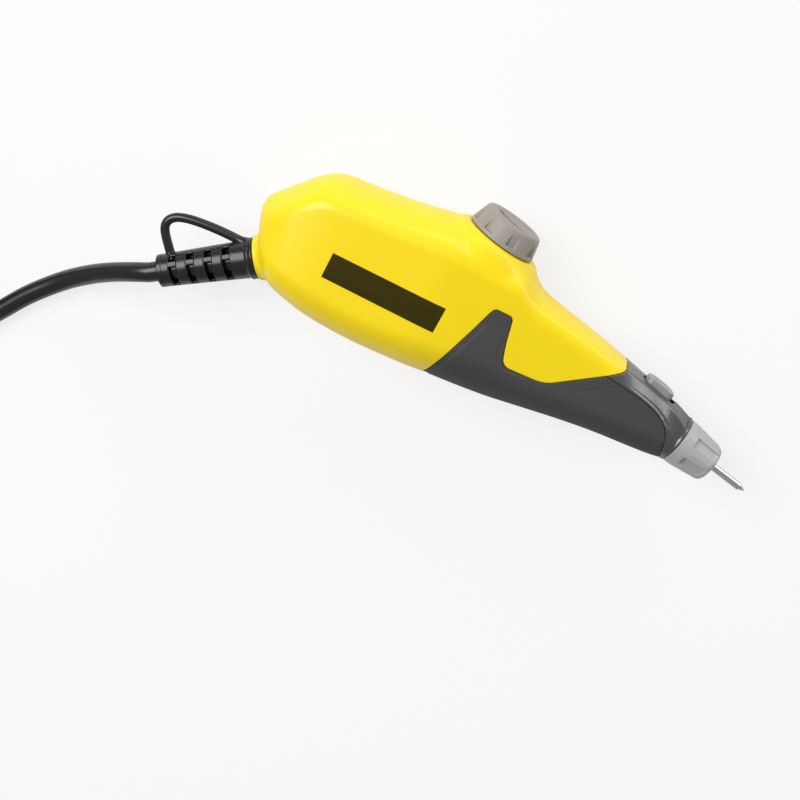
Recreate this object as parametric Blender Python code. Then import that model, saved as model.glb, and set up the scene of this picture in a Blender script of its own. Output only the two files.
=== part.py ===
"""Electric engraving pen with a mains cord, lying on its left side.

The needle points along +X, the stroke dial stands towards +Y and the pen's
right side faces up, along +Z. The origin is on the surface that the pen lies
on, under the middle of its flat side. Lengths are metres.

A coil pulls the armature lever up to the laminated core twice in each period
of the mains. The lever turns about its pin, pushes the needle holder forward
and two springs bring it back. The dial's cam limits how far the lever swings.
"""
import math

import bmesh
import bpy
import numpy as np
from mathutils import Matrix, Vector

MM = 0.001

# Housing: length from the rear face to the nut, thickness at the hump, width over the flat sides
BODY_LENGTH = 146.0 * MM
BODY_HEIGHT = 46.0 * MM
BODY_WIDTH = 34.0 * MM
REAR_X = -36.0 * MM
WALL = 2.2 * MM
GAP = 0.3 * MM
OVERRUN = 1.0 * MM
FAR = 60.0 * MM
PAD_BLEND = 4.5 * MM

# Sections of the housing from the rear face forward, chosen by hand. Each row gives, as shares,
# back x, back y, belly x, belly y, half width, upper shoulder and lower shoulder.
SECTION_SHARES = [
    (0.0080, 0.094, 0.021, -0.090, 0.25, 0.30, -0.30),
    (0.0105, 0.130, 0.029, -0.160, 0.36, 0.30, -0.30),
    (0.0180, 0.164, 0.041, -0.240, 0.50, 0.30, -0.32),
    (0.040, 0.234, 0.061, -0.332, 0.71, 0.34, -0.36),
    (0.074, 0.343, 0.085, -0.398, 0.87, 0.42, -0.42),
    (0.106, 0.430, 0.117, -0.433, 0.945, 0.54, -0.45),
    (0.145, 0.472, 0.155, -0.465, 0.99, 0.61, -0.47),
    (0.205, 0.480, 0.212, -0.493, 1.00, 0.63, -0.48),
    (0.301, 0.507, 0.301, -0.509, 1.00, 0.60, -0.48),
    (0.397, 0.548, 0.397, -0.504, 1.00, 0.57, -0.46),
    (0.452, 0.537, 0.459, -0.493, 0.95, 0.56, -0.42),
    (0.507, 0.507, 0.514, -0.487, 0.89, 0.56, -0.38),
    (0.555, 0.478, 0.562, -0.478, 0.835, 0.60, -0.35),
    (0.579, 0.400, 0.592, -0.470, 0.80, 0.67, -0.33),
    (0.606, 0.326, 0.623, -0.457, 0.765, 0.74, -0.31),
    (0.658, 0.276, 0.671, -0.437, 0.72, 0.80, -0.30),
    (0.740, 0.215, 0.753, -0.404, 0.65, 0.80, -0.27),
    (0.822, 0.143, 0.836, -0.380, 0.59, 0.75, -0.24),
    (0.897, 0.082, 0.901, -0.372, 0.535, 0.55, -0.16),
    (0.952, 0.035, 0.945, -0.365, 0.485, 0.28, -0.08),
]
OUTER_STATIONS = 38
INNER_STATIONS = 18
OUTER_COUNTS = (6, 2, 6)
INNER_COUNTS = (3, 1, 4)
LIMIT_COUNTS = (4, 1, 4)
LIMIT_STATIONS = 30
CAVITY_START_SHARE = 0.075

# Needle line: where it leaves the nose, and how far it points down from +X
NOSE_CENTRE = (108.7 * MM, -8.9 * MM)
NOSE_DIAMETER = 15.0 * MM
NEEDLE_TILT_DEG = 12.8

# Seam of the yellow shells against the grip and the nose, as shares of length and height
SHELL_SEAM_SHARES = [
    (0.390, -0.90, 0.0), (0.455, -0.435, 0.0), (0.507, -0.024, 0.0), (0.528, 0.158, 0.010),
    (0.570, 0.150, 0.009), (0.579, -0.020, 0.0), (0.591, -0.172, 0.018), (0.685, -0.172, 0.022),
    (0.825, 0.110, 0.011), (0.829, 0.175, 0.0), (0.824, 0.70, 0.0),
]
# Seam of the nose against the grip
NOSE_SEAM_SHARES = [
    (0.770, 0.052), (0.804, 0.036), (0.839, 0.016), (0.875, -0.006), (0.905, -0.033),
    (0.923, -0.058), (0.940, -0.093), (0.952, -0.135), (0.960, -0.185), (0.964, -0.240),
    (0.969, -0.305), (0.975, -0.370), (0.982, -0.60),
]

# Stroke dial
DIAL_CENTRE = (34.4 * MM, 23.6 * MM)
DIAL_TILT_DEG = 12.0
DIAL_RADIUS = 11.0 * MM
DIAL_TOP_RADIUS = 9.6 * MM
DIAL_HEIGHT = 6.9 * MM
DIAL_FLANGE = 1.0 * MM
DIAL_EDGE = 1.3 * MM
DIAL_RIM = 1.2 * MM
DIAL_DISH = 1.0 * MM
DIAL_POCKETS = 8
DIAL_POCKET_TURN_DEG = 15.0
DIAL_POCKET_WIDTH = 3.4 * MM
DIAL_POCKET_DEPTH = 0.95 * MM
DIAL_SLOT = (12.0 * MM, 2.4 * MM, 1.3 * MM)
DIAL_SLOT_TURN_DEG = 62.0
SHAFT_RADIUS = 3.0 * MM
SHAFT_LENGTH = 23.6 * MM
SHAFT_COLLAR = (5.0 * MM, 3.4 * MM, 1.2 * MM)
CAM_RADIUS = 3.6 * MM
CAM_HEIGHT = 1.6 * MM
CAM_RISE = 0.8 * MM
CAM_STEPS = 24

# Switch on the nose
SWITCH_CENTRE = (96.4 * MM, 3.4 * MM)
SWITCH_TILT_DEG = 14.5
BUTTON_SIZE = (10.0 * MM, 6.2 * MM)
BUTTON_CORNER = 2.2 * MM
BUTTON_RISE = 1.6 * MM
BUTTON_ROOT = 2.4 * MM
BUTTON_SHIFT = 0.2 * MM
SWITCH_TRAVEL = 1.2 * MM
SLIDE_SIZE = (11.0 * MM, 6.8 * MM, 1.2 * MM)
SLIDE_SHIFT = BUTTON_SHIFT - 1.2 * MM
SWITCH_BASE_SIZE = (11.0 * MM, 8.4 * MM, 1.5 * MM)
CONTACT_SIZE = (7.0 * MM, 2.0 * MM, 0.6 * MM)
CONTACT_SPREAD = 2.6 * MM

# Union nut, along the needle line from its rear rim
NUT_RADIUS = 7.5 * MM
NUT_COLLAR = 3.2 * MM
NUT_LENGTH = 13.2 * MM
NUT_FRONT_RADIUS = 4.6 * MM
NUT_SHOULDER = (10.9 * MM, 6.4 * MM)
NUT_BOSS = (2.2 * MM, 0.9 * MM)
NUT_BORE = 4.9 * MM
NUT_POCKETS = 8
NUT_POCKET_WIDTH = 3.0 * MM
NUT_POCKET_DEPTH = 0.55 * MM
NUT_POCKET_START = 3.9 * MM
BUSH_RADIUS = 4.5 * MM
BUSH_BORE = 2.4 * MM
BUSH_FLANGE = (5.6 * MM, 2.0 * MM)
BUSH_REAR = -9.0 * MM
BUSH_FRONT = 9.4 * MM
NOSE_WALL = 1.8 * MM
NOSE_FRONT_WALL = 6.0 * MM

# Needle and its holder, along the needle line
NEEDLE_RADIUS = 1.3 * MM
NEEDLE_SHANK_RADIUS = 1.0 * MM
NEEDLE_TIP = 26.6 * MM
NEEDLE_CONE = 2.3 * MM
HOLDER_RADIUS = 2.0 * MM
HOLDER_TAIL = -55.2 * MM
HOLDER_FRONT = 11.6 * MM
HOLDER_GUIDE = -44.0 * MM
HOLDER_BORE = (1.35 * MM, 12.0 * MM)
HOLDER_COLLAR = (3.1 * MM, -18.0 * MM, 2.0 * MM)
NEEDLE_SPRING = (2.7 * MM, 0.3 * MM, 5)

# Electromagnet
CORE_X = (-13.0 * MM, 19.0 * MM)
CORE_Y = (-3.0 * MM, 15.5 * MM)
CORE_STACK = 14.0 * MM
CORE_LEG = 5.5 * MM
CORE_MIDDLE_LEG = 9.0 * MM
CORE_YOKE = 6.0 * MM
BOBBIN_WALL = 1.0 * MM
BOBBIN_OVERHANG = 5.4 * MM
WINDING_INSET = 0.5 * MM
WINDING_CORNER = 3.0 * MM

# Armature lever, drawn pulled up to the core and then swung back to rest
LEVER_SWING_DEG = 2.2
LEVER_ARM = 15.5 * MM
LEVER_WIDTH = 8.0 * MM
LEVER_THICK = 3.0 * MM
LEVER_HUB = 4.3 * MM
LEVER_HEAD = 2.4 * MM
ARMATURE_THICK = 2.4 * MM
PIN_RADIUS = 1.5 * MM
ARMATURE_SPRING = (1.9 * MM, 0.3 * MM, 5)
ARMATURE_SPRING_X = 23.6 * MM
SPRING_SEAT_Y = 5.8 * MM
STOP_X = -8.5 * MM
STOP_SIZE = (8.0 * MM, 4.6 * MM, 12.0 * MM)

# Posts and ribs inside the shells
POST_RADIUS = 3.4 * MM
CORE_POST_RADIUS = 2.6 * MM
RIB_RADIUS = 2.2 * MM
SCREW_HEAD = (2.2 * MM, 1.6 * MM)
SCREW_SHANK = 1.1 * MM
SCREW_TIP = 7.0 * MM
SCREW_SEAT = 6.5 * MM
SHELL_SCREWS = [(-24.2 * MM, 7.0 * MM), (1.0 * MM, -16.8 * MM), (23.6 * MM, 14.6 * MM),
                (61.6 * MM, 7.8 * MM)]
GRIP_SCREWS = [(70.5 * MM, -13.0 * MM)]

# Strain relief: where it leaves the housing, its line, and its own sizes
RELIEF_CENTRE = (-30.6 * MM, -13.0 * MM)
RELIEF_ANGLE_DEG = 212.9
RELIEF_SOCKET = 6.9 * MM
RELIEF_RADIUS = 6.1 * MM
RELIEF_TIP_RADIUS = 5.0 * MM
RELIEF_LENGTH = 31.4 * MM
RELIEF_NECK = 4.5 * MM
RELIEF_ANCHOR = (6.0 * MM, 1.8 * MM)
SOCKET_DEPTH = 5.0 * MM
SLOT_COUNT = 4
SLOT_FIRST = 8.6 * MM
SLOT_PITCH = 5.75 * MM
SLOT_WIDTH = 2.2 * MM
SLOT_CORE = 3.4 * MM
SLOT_HALF_ANGLE_DEG = 62.0
LOOP_STRAND = 1.35 * MM
LOOP_POINTS = [
    (27.4 * MM, 3.4 * MM), (27.7 * MM, 7.0 * MM), (28.0 * MM, 11.0 * MM), (27.6 * MM, 13.6 * MM),
    (26.2 * MM, 15.2 * MM), (23.4 * MM, 15.6 * MM), (19.8 * MM, 14.2 * MM), (15.2 * MM, 11.0 * MM),
    (10.0 * MM, 8.0 * MM), (5.6 * MM, 5.2 * MM), (4.2 * MM, 3.6 * MM),
]

# Cord, coil and plug
CORD_RADIUS = 3.15 * MM
CORD_TAIL = 12.5 * MM
CLAMP_SIZE = (16.0 * MM, 3.6 * MM, 2.2 * MM)
CLAMP_SCREW_SPREAD = 5.9 * MM
CLAMP_SCREW_DEPTH = 4.5 * MM
CORD_ROUTE = [
    (-64.5 * MM, -34.3 * MM, 15.6 * MM), (-72.2 * MM, -38.9 * MM, 11.6 * MM),
    (-80.0 * MM, -44.5 * MM, 7.2 * MM), (-88.2 * MM, -51.5 * MM, 4.1 * MM),
    (-97.2 * MM, -60.9 * MM, 3.25 * MM), (-105.2 * MM, -71.4 * MM, 3.25 * MM),
    (-113.2 * MM, -81.0 * MM, 3.25 * MM), (-122.2 * MM, -90.3 * MM, 3.25 * MM),
]
COIL_CENTRE = (-169.5 * MM, -64.0 * MM)
COIL_OUTER = 50.8 * MM
COIL_PITCH = 6.85 * MM
COIL_LAYER = 6.85 * MM
COIL_TURNS = 7.388
COIL_START_DEG = -52.3
COIL_TURN_POINTS = 24
TIE_SIZE = (8.0 * MM, 0.8 * MM)
TIE_LIFT = 1.2 * MM
TIE_ANGLE_DEG = 75.0
TIE_REACH_DEG = (14.0, 32.0)
PLUG_BODY = (34.0 * MM, 35.3 * MM, 13.7 * MM)
PLUG_LEAD = 30.0 * MM
PLUG_SECTION_SHARES = [
    (0.0, 0.27, 0.72), (0.06, 0.30, 0.80), (0.35, 0.345, 0.86), (0.62, 0.92, 1.0), (0.72, 1.0, 1.0),
    (0.96, 1.0, 1.0), (1.0, 0.94, 0.92),
]
PLUG_PIN_RADIUS = 2.0 * MM
PLUG_PIN_LENGTH = 19.0 * MM
PLUG_PIN_SPREAD = 18.6 * MM

# Leads inside, by places along their routes, heights from the midplane
LEAD_RADIUS = 0.8 * MM
LIVE_ROUTE = [
    (-16.2 * MM, -11.1 * MM, 6.4 * MM), (-11.5 * MM, -12.4 * MM, 9.3 * MM),
    (1.0 * MM, -12.0 * MM, 9.5 * MM), (13.0 * MM, -13.2 * MM, 9.3 * MM),
    (30.0 * MM, -14.6 * MM, 8.6 * MM), (43.0 * MM, -15.5 * MM, 6.4 * MM),
    (52.0 * MM, -16.2 * MM, 5.2 * MM), (60.0 * MM, -13.2 * MM, 5.2 * MM),
    (66.5 * MM, -7.4 * MM, 5.0 * MM), (73.0 * MM, -2.2 * MM, 3.6 * MM),
]
NEUTRAL_ROUTE = [(-18.6 * MM, -2.0 * MM, -6.0 * MM), (-15.0 * MM, 7.0 * MM, -8.5 * MM)]

YELLOW = (0.99, 0.76, 0.0, 1.0)
SOFT_GREY = (0.055, 0.055, 0.058, 1.0)
HARD_GREY = (0.075, 0.075, 0.078, 1.0)
DIAL_GREY = (0.33, 0.31, 0.29, 1.0)
NUT_GREY = (0.30, 0.30, 0.30, 1.0)
BUTTON_GREY = (0.24, 0.24, 0.24, 1.0)
BLACK = (0.02, 0.02, 0.02, 1.0)
STEEL = (0.62, 0.62, 0.62, 1.0)
IRON = (0.25, 0.26, 0.28, 1.0)
BRASS = (0.80, 0.60, 0.28, 1.0)
COPPER = (0.72, 0.34, 0.16, 1.0)
BROWN = (0.22, 0.09, 0.03, 1.0)
BLUE = (0.03, 0.16, 0.55, 1.0)
NYLON = (0.70, 0.68, 0.62, 1.0)

MIDDLE = BODY_WIDTH / 2


# Materials and plain helpers

def material(name, colour, roughness=0.45, metallic=0.0):
    found = bpy.data.materials.get(name)
    if found:
        return found
    made = bpy.data.materials.new(name)
    made.use_nodes = True
    shader = made.node_tree.nodes["Principled BSDF"]
    shader.inputs["Base Color"].default_value = colour
    shader.inputs["Roughness"].default_value = roughness
    shader.inputs["Metallic"].default_value = metallic
    made.diffuse_color = colour
    return made


def add_object(name, data, finish, matrix=None):
    thing = bpy.data.objects.new(name, data)
    bpy.context.scene.collection.objects.link(thing)
    if finish:
        data.materials.append(finish)
    if matrix is not None:
        thing.matrix_world = matrix
    return thing


def finish_mesh(name, work, finish, matrix=None, sharp_deg=35.0):
    bmesh.ops.remove_doubles(work, verts=work.verts, dist=GAP / 300)
    bmesh.ops.recalc_face_normals(work, faces=work.faces)
    mesh = bpy.data.meshes.new(name)
    work.to_mesh(mesh)
    work.free()
    mesh.shade_smooth()
    mesh.set_sharp_from_angle(angle=math.radians(sharp_deg))
    return add_object(name, mesh, finish, matrix)


def mesh_piece(name, points, faces, finish, matrix=None, sharp_deg=35.0):
    work = bmesh.new()
    verts = [work.verts.new(point) for point in points]
    for face in faces:
        work.faces.new([verts[index] for index in face])
    return finish_mesh(name, work, finish, matrix, sharp_deg)


def line_frame(centre, angle_deg, along=0.0):
    """A frame on the midplane whose local Z runs along a line at angle_deg from +X."""
    angle = math.radians(angle_deg)
    axis = Vector((math.cos(angle), math.sin(angle), 0.0))
    side = Vector((0.0, 0.0, 1.0)).cross(axis)
    turn = Matrix((side, Vector((0.0, 0.0, 1.0)), axis)).transposed().to_4x4()
    place = Vector((centre[0], centre[1], MIDDLE)) + axis * along
    return Matrix.Translation(place) @ turn


def flat_frame(x=0.0, y=0.0, z=0.0, turn_deg=0.0):
    """A frame beside the midplane, turned about Z."""
    turn = Matrix.Rotation(math.radians(turn_deg), 4, "Z")
    return Matrix.Translation((x, y, MIDDLE + z)) @ turn


NEEDLE_FRAME = line_frame(NOSE_CENTRE, -NEEDLE_TILT_DEG)
DIAL_FRAME = line_frame(DIAL_CENTRE, 90.0 - DIAL_TILT_DEG)
RELIEF_FRAME = line_frame(RELIEF_CENTRE, RELIEF_ANGLE_DEG)
SWITCH_FRAME = line_frame(SWITCH_CENTRE, 90.0 - SWITCH_TILT_DEG)


def turned(name, profile, steps, finish, matrix=None, sharp_deg=35.0):
    """Turn a closed profile of (radius, height) about local Z."""
    work = bmesh.new()
    verts = [work.verts.new((radius, 0.0, height)) for radius, height in profile]
    edges = [work.edges.new((verts[i], verts[(i + 1) % len(verts)])) for i in range(len(verts))]
    bmesh.ops.spin(work, geom=verts + edges, cent=(0, 0, 0), axis=(0, 0, 1), dvec=(0, 0, 0),
                   angle=2 * math.pi, steps=steps, use_merge=True, use_duplicate=False)
    bmesh.ops.remove_doubles(work, verts=work.verts, dist=GAP / 300)
    bmesh.ops.dissolve_degenerate(work, edges=work.edges, dist=GAP / 300)
    loose = [edge for edge in work.edges if not edge.link_faces]
    bmesh.ops.delete(work, geom=loose, context="EDGES")
    return finish_mesh(name, work, finish, matrix, sharp_deg)


def rod(name, radius, start, end, steps, finish, matrix=None):
    return turned(name, [(0.0, start), (radius, start), (radius, end), (0.0, end)], steps, finish,
                  matrix)


def slab(name, outline, low, high, finish, matrix=None, sharp_deg=35.0):
    """Extrude an outline of (x, y) from low to high along local Z."""
    work = bmesh.new()
    verts = [work.verts.new((x, y, low)) for x, y in outline]
    face = work.faces.new(verts)
    grown = bmesh.ops.extrude_face_region(work, geom=[face])["geom"]
    risen = [item for item in grown if isinstance(item, bmesh.types.BMVert)]
    bmesh.ops.translate(work, verts=risen, vec=(0.0, 0.0, high - low))
    return finish_mesh(name, work, finish, matrix, sharp_deg)


def rectangle(length, width, corner=0.0, steps=4):
    """A rectangle about the origin with rounded corners."""
    if corner == 0.0:
        return [(-length / 2, -width / 2), (length / 2, -width / 2), (length / 2, width / 2),
                (-length / 2, width / 2)]
    points = []
    for quarter, (sx, sy) in enumerate(((1, -1), (1, 1), (-1, 1), (-1, -1))):
        for step in range(steps + 1):
            angle = math.radians(-90 + 90 * quarter + 90 * step / steps)
            points.append((sx * (length / 2 - corner) + corner * math.cos(angle),
                           sy * (width / 2 - corner) + corner * math.sin(angle)))
    return points


def merged(name, pieces, finish=None):
    """Join scratch pieces that don't touch into one object."""
    work = bmesh.new()
    for piece in pieces:
        part = piece.data.copy()
        part.transform(piece.matrix_world)
        work.from_mesh(part)
        bpy.data.meshes.remove(part)
        bpy.data.objects.remove(piece)
    mesh = bpy.data.meshes.new(name)
    work.to_mesh(mesh)
    work.free()
    return add_object(name, mesh, finish)


def combine(target, tool, operation):
    """Add a Boolean; the tool stays in the scene as a hidden guide."""
    step = target.modifiers.new(operation.lower(), "BOOLEAN")
    step.operation = operation
    step.object = tool
    step.solver = "EXACT"
    tool.hide_render = True
    tool.display_type = "WIRE"


def wire(name, points, radius, finish, resolution=1):
    """A round tube along points, as a curve with a bevel and closed ends."""
    curve = bpy.data.curves.new(name, "CURVE")
    curve.dimensions = "3D"
    spline = curve.splines.new("POLY")
    spline.points.add(len(points) - 1)
    for place, point in zip(spline.points, points):
        place.co = (point[0], point[1], point[2], 1.0)
    curve.bevel_depth = radius
    curve.bevel_resolution = resolution
    curve.use_fill_caps = True
    return add_object(name, curve, finish)


def smooth_route(points, spacing, straight_ends=False):
    """Points at an even spacing on a smooth curve through hand-chosen points.

    With straight_ends, the first and last runs stay straight, square to what they meet.
    """
    knots = [Vector(point) for point in points]
    if not straight_ends:
        knots = [knots[0] * 2 - knots[1]] + knots + [knots[-1] * 2 - knots[-2]]
    fine = []
    for a, b, c, d in zip(knots, knots[1:], knots[2:], knots[3:]):
        for step in range(40):
            t = step / 40
            fine.append(0.5 * (2 * b + (c - a) * t + (2 * a - 5 * b + 4 * c - d) * t * t
                               + (3 * b - a - 3 * c + d) * t ** 3))
    fine.append(knots[-2].copy())
    reach = [0.0]
    for a, b in zip(fine, fine[1:]):
        reach.append(reach[-1] + (b - a).length)
    count = max(2, round(reach[-1] / spacing))
    wanted = np.linspace(0.0, reach[-1], count + 1)
    columns = [np.interp(wanted, reach, [point[k] for point in fine]) for k in range(3)]
    even = [Vector(point) for point in zip(*columns)]
    if straight_ends:
        even = [knots[0]] + even + [knots[-1]]
    return even


# Housing form

def nose_row():
    """The last section, a circle square to the needle line, behind the nut's rim."""
    angle = math.radians(NEEDLE_TILT_DEG)
    along = (math.cos(angle) * GAP, -math.sin(angle) * GAP)
    up = (math.sin(angle) * NOSE_DIAMETER / 2, math.cos(angle) * NOSE_DIAMETER / 2)
    x, y = NOSE_CENTRE[0] - along[0], NOSE_CENTRE[1] - along[1]
    return (x + up[0], y + up[1], x - up[0], y - up[1], NOSE_DIAMETER / 2, 0.0, 0.0)


def section_rows():
    rows = []
    for bx, by, lx, ly, width, top, low in SECTION_SHARES:
        rows.append((REAR_X + bx * BODY_LENGTH, by * BODY_HEIGHT,
                     REAR_X + lx * BODY_LENGTH, ly * BODY_HEIGHT,
                     width * BODY_WIDTH / 2, top, low))
    return np.array(rows + [nose_row()])


ROWS = section_rows()
KNOTS = np.concatenate([[0.0], np.cumsum(np.linalg.norm(np.diff(ROWS[:, :5], axis=0), axis=1))])
KNOTS = KNOTS / KNOTS[-1]


def row_slopes():
    """Slopes that keep the curve between its rows, as a draughtsman's batten would."""
    steps = np.diff(KNOTS)[:, None]
    secants = np.diff(ROWS, axis=0) / steps
    slopes = np.zeros_like(ROWS)
    slopes[0], slopes[-1] = secants[0], secants[-1]
    before, after = secants[:-1], secants[1:]
    same = before * after > 0
    safe = np.where(same, before + after, 1.0)
    slopes[1:-1] = np.where(same, 2 * before * after / safe, 0.0)
    return slopes


SLOPES = row_slopes()


def section_at(share):
    """One section of the housing, at a share of the way along its rows."""
    share = min(max(share, 0.0), 1.0)
    i = min(int(np.searchsorted(KNOTS, share, side="right")) - 1, len(KNOTS) - 2)
    width = KNOTS[i + 1] - KNOTS[i]
    t = (share - KNOTS[i]) / width
    return ((2 * t ** 3 - 3 * t ** 2 + 1) * ROWS[i] + (t ** 3 - 2 * t ** 2 + t) * width * SLOPES[i]
            + (3 * t ** 2 - 2 * t ** 3) * ROWS[i + 1] + (t ** 3 - t ** 2) * width * SLOPES[i + 1])


def section_parts(row, inset):
    back, belly = np.array(row[:2]), np.array(row[2:4])
    centre = (back + belly) / 2
    height = np.linalg.norm(back - belly) / 2
    rise = (back - belly) / (2 * height)
    return centre, rise, height - inset, row[4] - inset, row[5], row[6]


def half_outline(row, counts, inset):
    """Points (x, y, z from the midplane) from the back over the flat side to the belly."""
    centre, rise, height, width, top, low = section_parts(row, inset)
    points = []
    for step in range(counts[0] + 1):
        angle = math.pi / 2 * (1 - step / counts[0])
        points.append((height * (top + (1 - top) * math.sin(angle)), width * math.cos(angle)))
    for step in range(1, counts[1]):
        points.append((height * (top + (low - top) * step / counts[1]), width))
    for step in range(counts[2] + 1):
        angle = math.pi / 2 * step / counts[2]
        points.append((height * (low - (1 + low) * math.sin(angle)), width * math.cos(angle)))
    return [(*(centre + rise * v), max(z, 0.0)) for v, z in points]


def rest_on_pad(point):
    """Level the back of the housing to a round pad under the dial."""
    angle = math.radians(90.0 - DIAL_TILT_DEG)
    axis = np.array((math.cos(angle), math.sin(angle), 0.0))
    offset = np.array(point) - np.array((*DIAL_CENTRE, 0.0))
    height = float(offset @ axis)
    radius = float(np.linalg.norm(offset - height * axis))
    flat = DIAL_RADIUS + GAP
    near = min(max((flat + PAD_BLEND - radius) / PAD_BLEND, 0.0), 1.0)
    if abs(height) > 2 * PAD_BLEND or near == 0.0:
        return point
    weight = near * near * (3 - 2 * near)
    return tuple(np.array(point) - axis * height * weight)


def half_width_at(x, y, inset=0.0):
    """How far the side stands from the midplane at a place of the side view."""
    best = None
    for share in np.linspace(0.0, 1.0, 240):
        centre, rise, height, width, top, low = section_parts(section_at(share), inset)
        offset = np.array((x, y)) - centre
        v = float(offset @ rise)
        miss = abs(float(offset[0] * rise[1] - offset[1] * rise[0]))
        if best is None or miss < best[0]:
            v = min(max(v / height, -1.0), 1.0)
            if v > top:
                bow = (v - top) / (1 - top)
            else:
                bow = max(low - v, 0.0) / (1 + low)
            best = (miss, width * math.sqrt(max(1 - bow * bow, 0.0)))
    return best[1]


def spread_shares(count, first=0.0, last=1.0):
    """Shares along the rows, closer together where the rear face turns in."""
    points = []
    for step in range(count + 1):
        t = step / count
        points.append(first + (last - first) * (0.72 * t + 0.28 * t ** 2.4))
    return points


def ring_points(share, counts, inset, side, lifted):
    row = section_at(share)
    points = []
    for point in half_outline(row, counts, inset):
        if lifted:
            point = rest_on_pad(point)
        z = GAP / 2 + point[2] * (1 - GAP / 2 / MIDDLE)
        points.append((point[0], point[1], MIDDLE + side * z))
    return points


def half_shell(name, side, finish):
    """One half of the housing's wall, open at the midplane; side is 1 for right, -1 for left."""
    outer = [ring_points(share, OUTER_COUNTS, 0.0, side, True)
             for share in spread_shares(OUTER_STATIONS)]
    inner = [ring_points(share, INNER_COUNTS, WALL, side, False)
             for share in spread_shares(INNER_STATIONS, CAVITY_START_SHARE)]
    points = [point for ring in outer + inner for point in ring]
    wide, narrow = len(outer[0]), len(inner[0])
    start = len(outer) * wide
    last_outer, last_inner = (len(outer) - 1) * wide, start + (len(inner) - 1) * narrow
    faces = []
    for rings, size, base in ((len(outer), wide, 0), (len(inner), narrow, start)):
        for i in range(rings - 1):
            for j in range(size - 1):
                a = base + i * size + j
                faces.append((a, a + 1, a + size + 1, a + size))
    faces.append(tuple(range(wide)))
    faces.append(tuple(range(start, start + narrow)))
    faces.append(tuple(range(last_outer, last_outer + wide))
                 + tuple(range(last_inner + narrow - 1, last_inner - 1, -1)))
    back_out = [i * wide for i in range(len(outer))]
    belly_out = [i * wide + wide - 1 for i in range(len(outer) - 1, -1, -1)]
    back_in = [start + i * narrow for i in range(len(inner) - 1, -1, -1)]
    belly_in = [start + i * narrow + narrow - 1 for i in range(len(inner))]
    faces.append(tuple(back_out + back_in + belly_in + belly_out))
    return mesh_piece(name, points, faces, finish)


def whole_loft(name, counts, stations, inset, first, last, finish=None):
    """The housing's form all round, from share first to share last, closed at both ends."""
    rings = []
    for share in np.linspace(first, last, stations + 1):
        right = half_outline(section_at(share), counts, inset)
        left = [(x, y, -z) for x, y, z in reversed(right[1:-1])]
        rings.append([(x, y, MIDDLE + z) for x, y, z in right + left])
    size = len(rings[0])
    faces = [tuple(range(size)), tuple(range((len(rings) - 1) * size, len(rings) * size))]
    for i in range(len(rings) - 1):
        for j in range(size):
            a, b = i * size + j, i * size + (j + 1) % size
            faces.append((a, b, b + size, a + size))
    return mesh_piece(name, [point for ring in rings for point in ring], faces, finish)


# Seams

def round_corners(corners, steps=4):
    """Replace each corner (x, y, cut) by a curve that starts a cut before it."""
    points = []
    for i, (x, y, cut) in enumerate(corners):
        here = np.array((x, y))
        if cut == 0.0:
            points.append(here)
            continue
        before, after = np.array(corners[i - 1][:2]), np.array(corners[i + 1][:2])
        start = here + (before - here) * cut / np.linalg.norm(before - here)
        end = here + (after - here) * cut / np.linalg.norm(after - here)
        for step in range(steps + 1):
            t = step / steps
            points.append((1 - t) ** 2 * start + 2 * t * (1 - t) * here + t * t * end)
    return points


def beside(points, distance):
    """A line that runs beside points, at a distance to its left."""
    shifted = []
    for i, point in enumerate(points):
        ways = []
        if i > 0:
            ways.append(point - points[i - 1])
        if i < len(points) - 1:
            ways.append(points[i + 1] - point)
        normals = [np.array((-way[1], way[0])) / np.linalg.norm(way) for way in ways]
        middle = sum(normals) / len(normals)
        shifted.append(point + middle * distance / float(middle @ middle))
    return shifted


def shell_seam():
    corners = [(REAR_X + x * BODY_LENGTH, y * BODY_HEIGHT, cut * BODY_LENGTH)
               for x, y, cut in SHELL_SEAM_SHARES]
    return round_corners(corners)


def nose_seam():
    return [np.array((REAR_X + x * BODY_LENGTH, y * BODY_HEIGHT)) for x, y in NOSE_SEAM_SHARES]


def shell_region(name, shift):
    """The prism of the side view that the yellow shells fill."""
    line = beside(shell_seam(), shift)
    outline = [tuple(point) for point in line]
    outline += [(outline[-1][0], FAR), (-FAR, FAR), (-FAR, -FAR), (outline[0][0], -FAR)]
    return slab(name, outline, -FAR, FAR, None, flat_frame())


def nose_region(name, shift):
    """The prism of the side view that the nose fills."""
    line = beside(nose_seam(), shift)
    outline = [tuple(point) for point in line]
    far_x = REAR_X + BODY_LENGTH + FAR
    outline += [(outline[-1][0], -FAR), (far_x, -FAR), (far_x, FAR), (outline[0][0], FAR)]
    return slab(name, outline, -FAR, FAR, None, flat_frame())


# Posts, bores and screws of the shells

def post(x, y, radius, side, foot=None, steps=10):
    """A round post from beyond the wall of one side towards the midplane."""
    foot = GAP if foot is None else foot
    ends = sorted((side * foot, side * MIDDLE))
    return rod("post", radius, ends[0], ends[1], steps, None, flat_frame(x, y))


def posts_in_wall(name, posts):
    """The posts of one half, trimmed so that they end halfway into its wall."""
    joined = merged(name + "_posts", posts)
    limit = whole_loft(name + "_limit", LIMIT_COUNTS, LIMIT_STATIONS, WALL / 2, 0.02, 1.0)
    combine(joined, limit, "INTERSECT")
    return joined


def screw_seat(x, y):
    return -(half_width_at(x, y) - SCREW_SEAT)


def screw_bores(places):
    """Bores in the left side: a wide one down to the seat, a narrow one past the midplane."""
    tools = []
    for x, y in places:
        seat = screw_seat(x, y)
        head, shank = SCREW_HEAD[0] + GAP, SCREW_SHANK + GAP
        profile = [(0.0, -MIDDLE - OVERRUN), (head, -MIDDLE - OVERRUN), (head, seat),
                   (shank, seat), (shank, OVERRUN), (0.0, OVERRUN)]
        tools.append(turned("bore", profile, 12, None, flat_frame(x, y)))
    return tools


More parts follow.
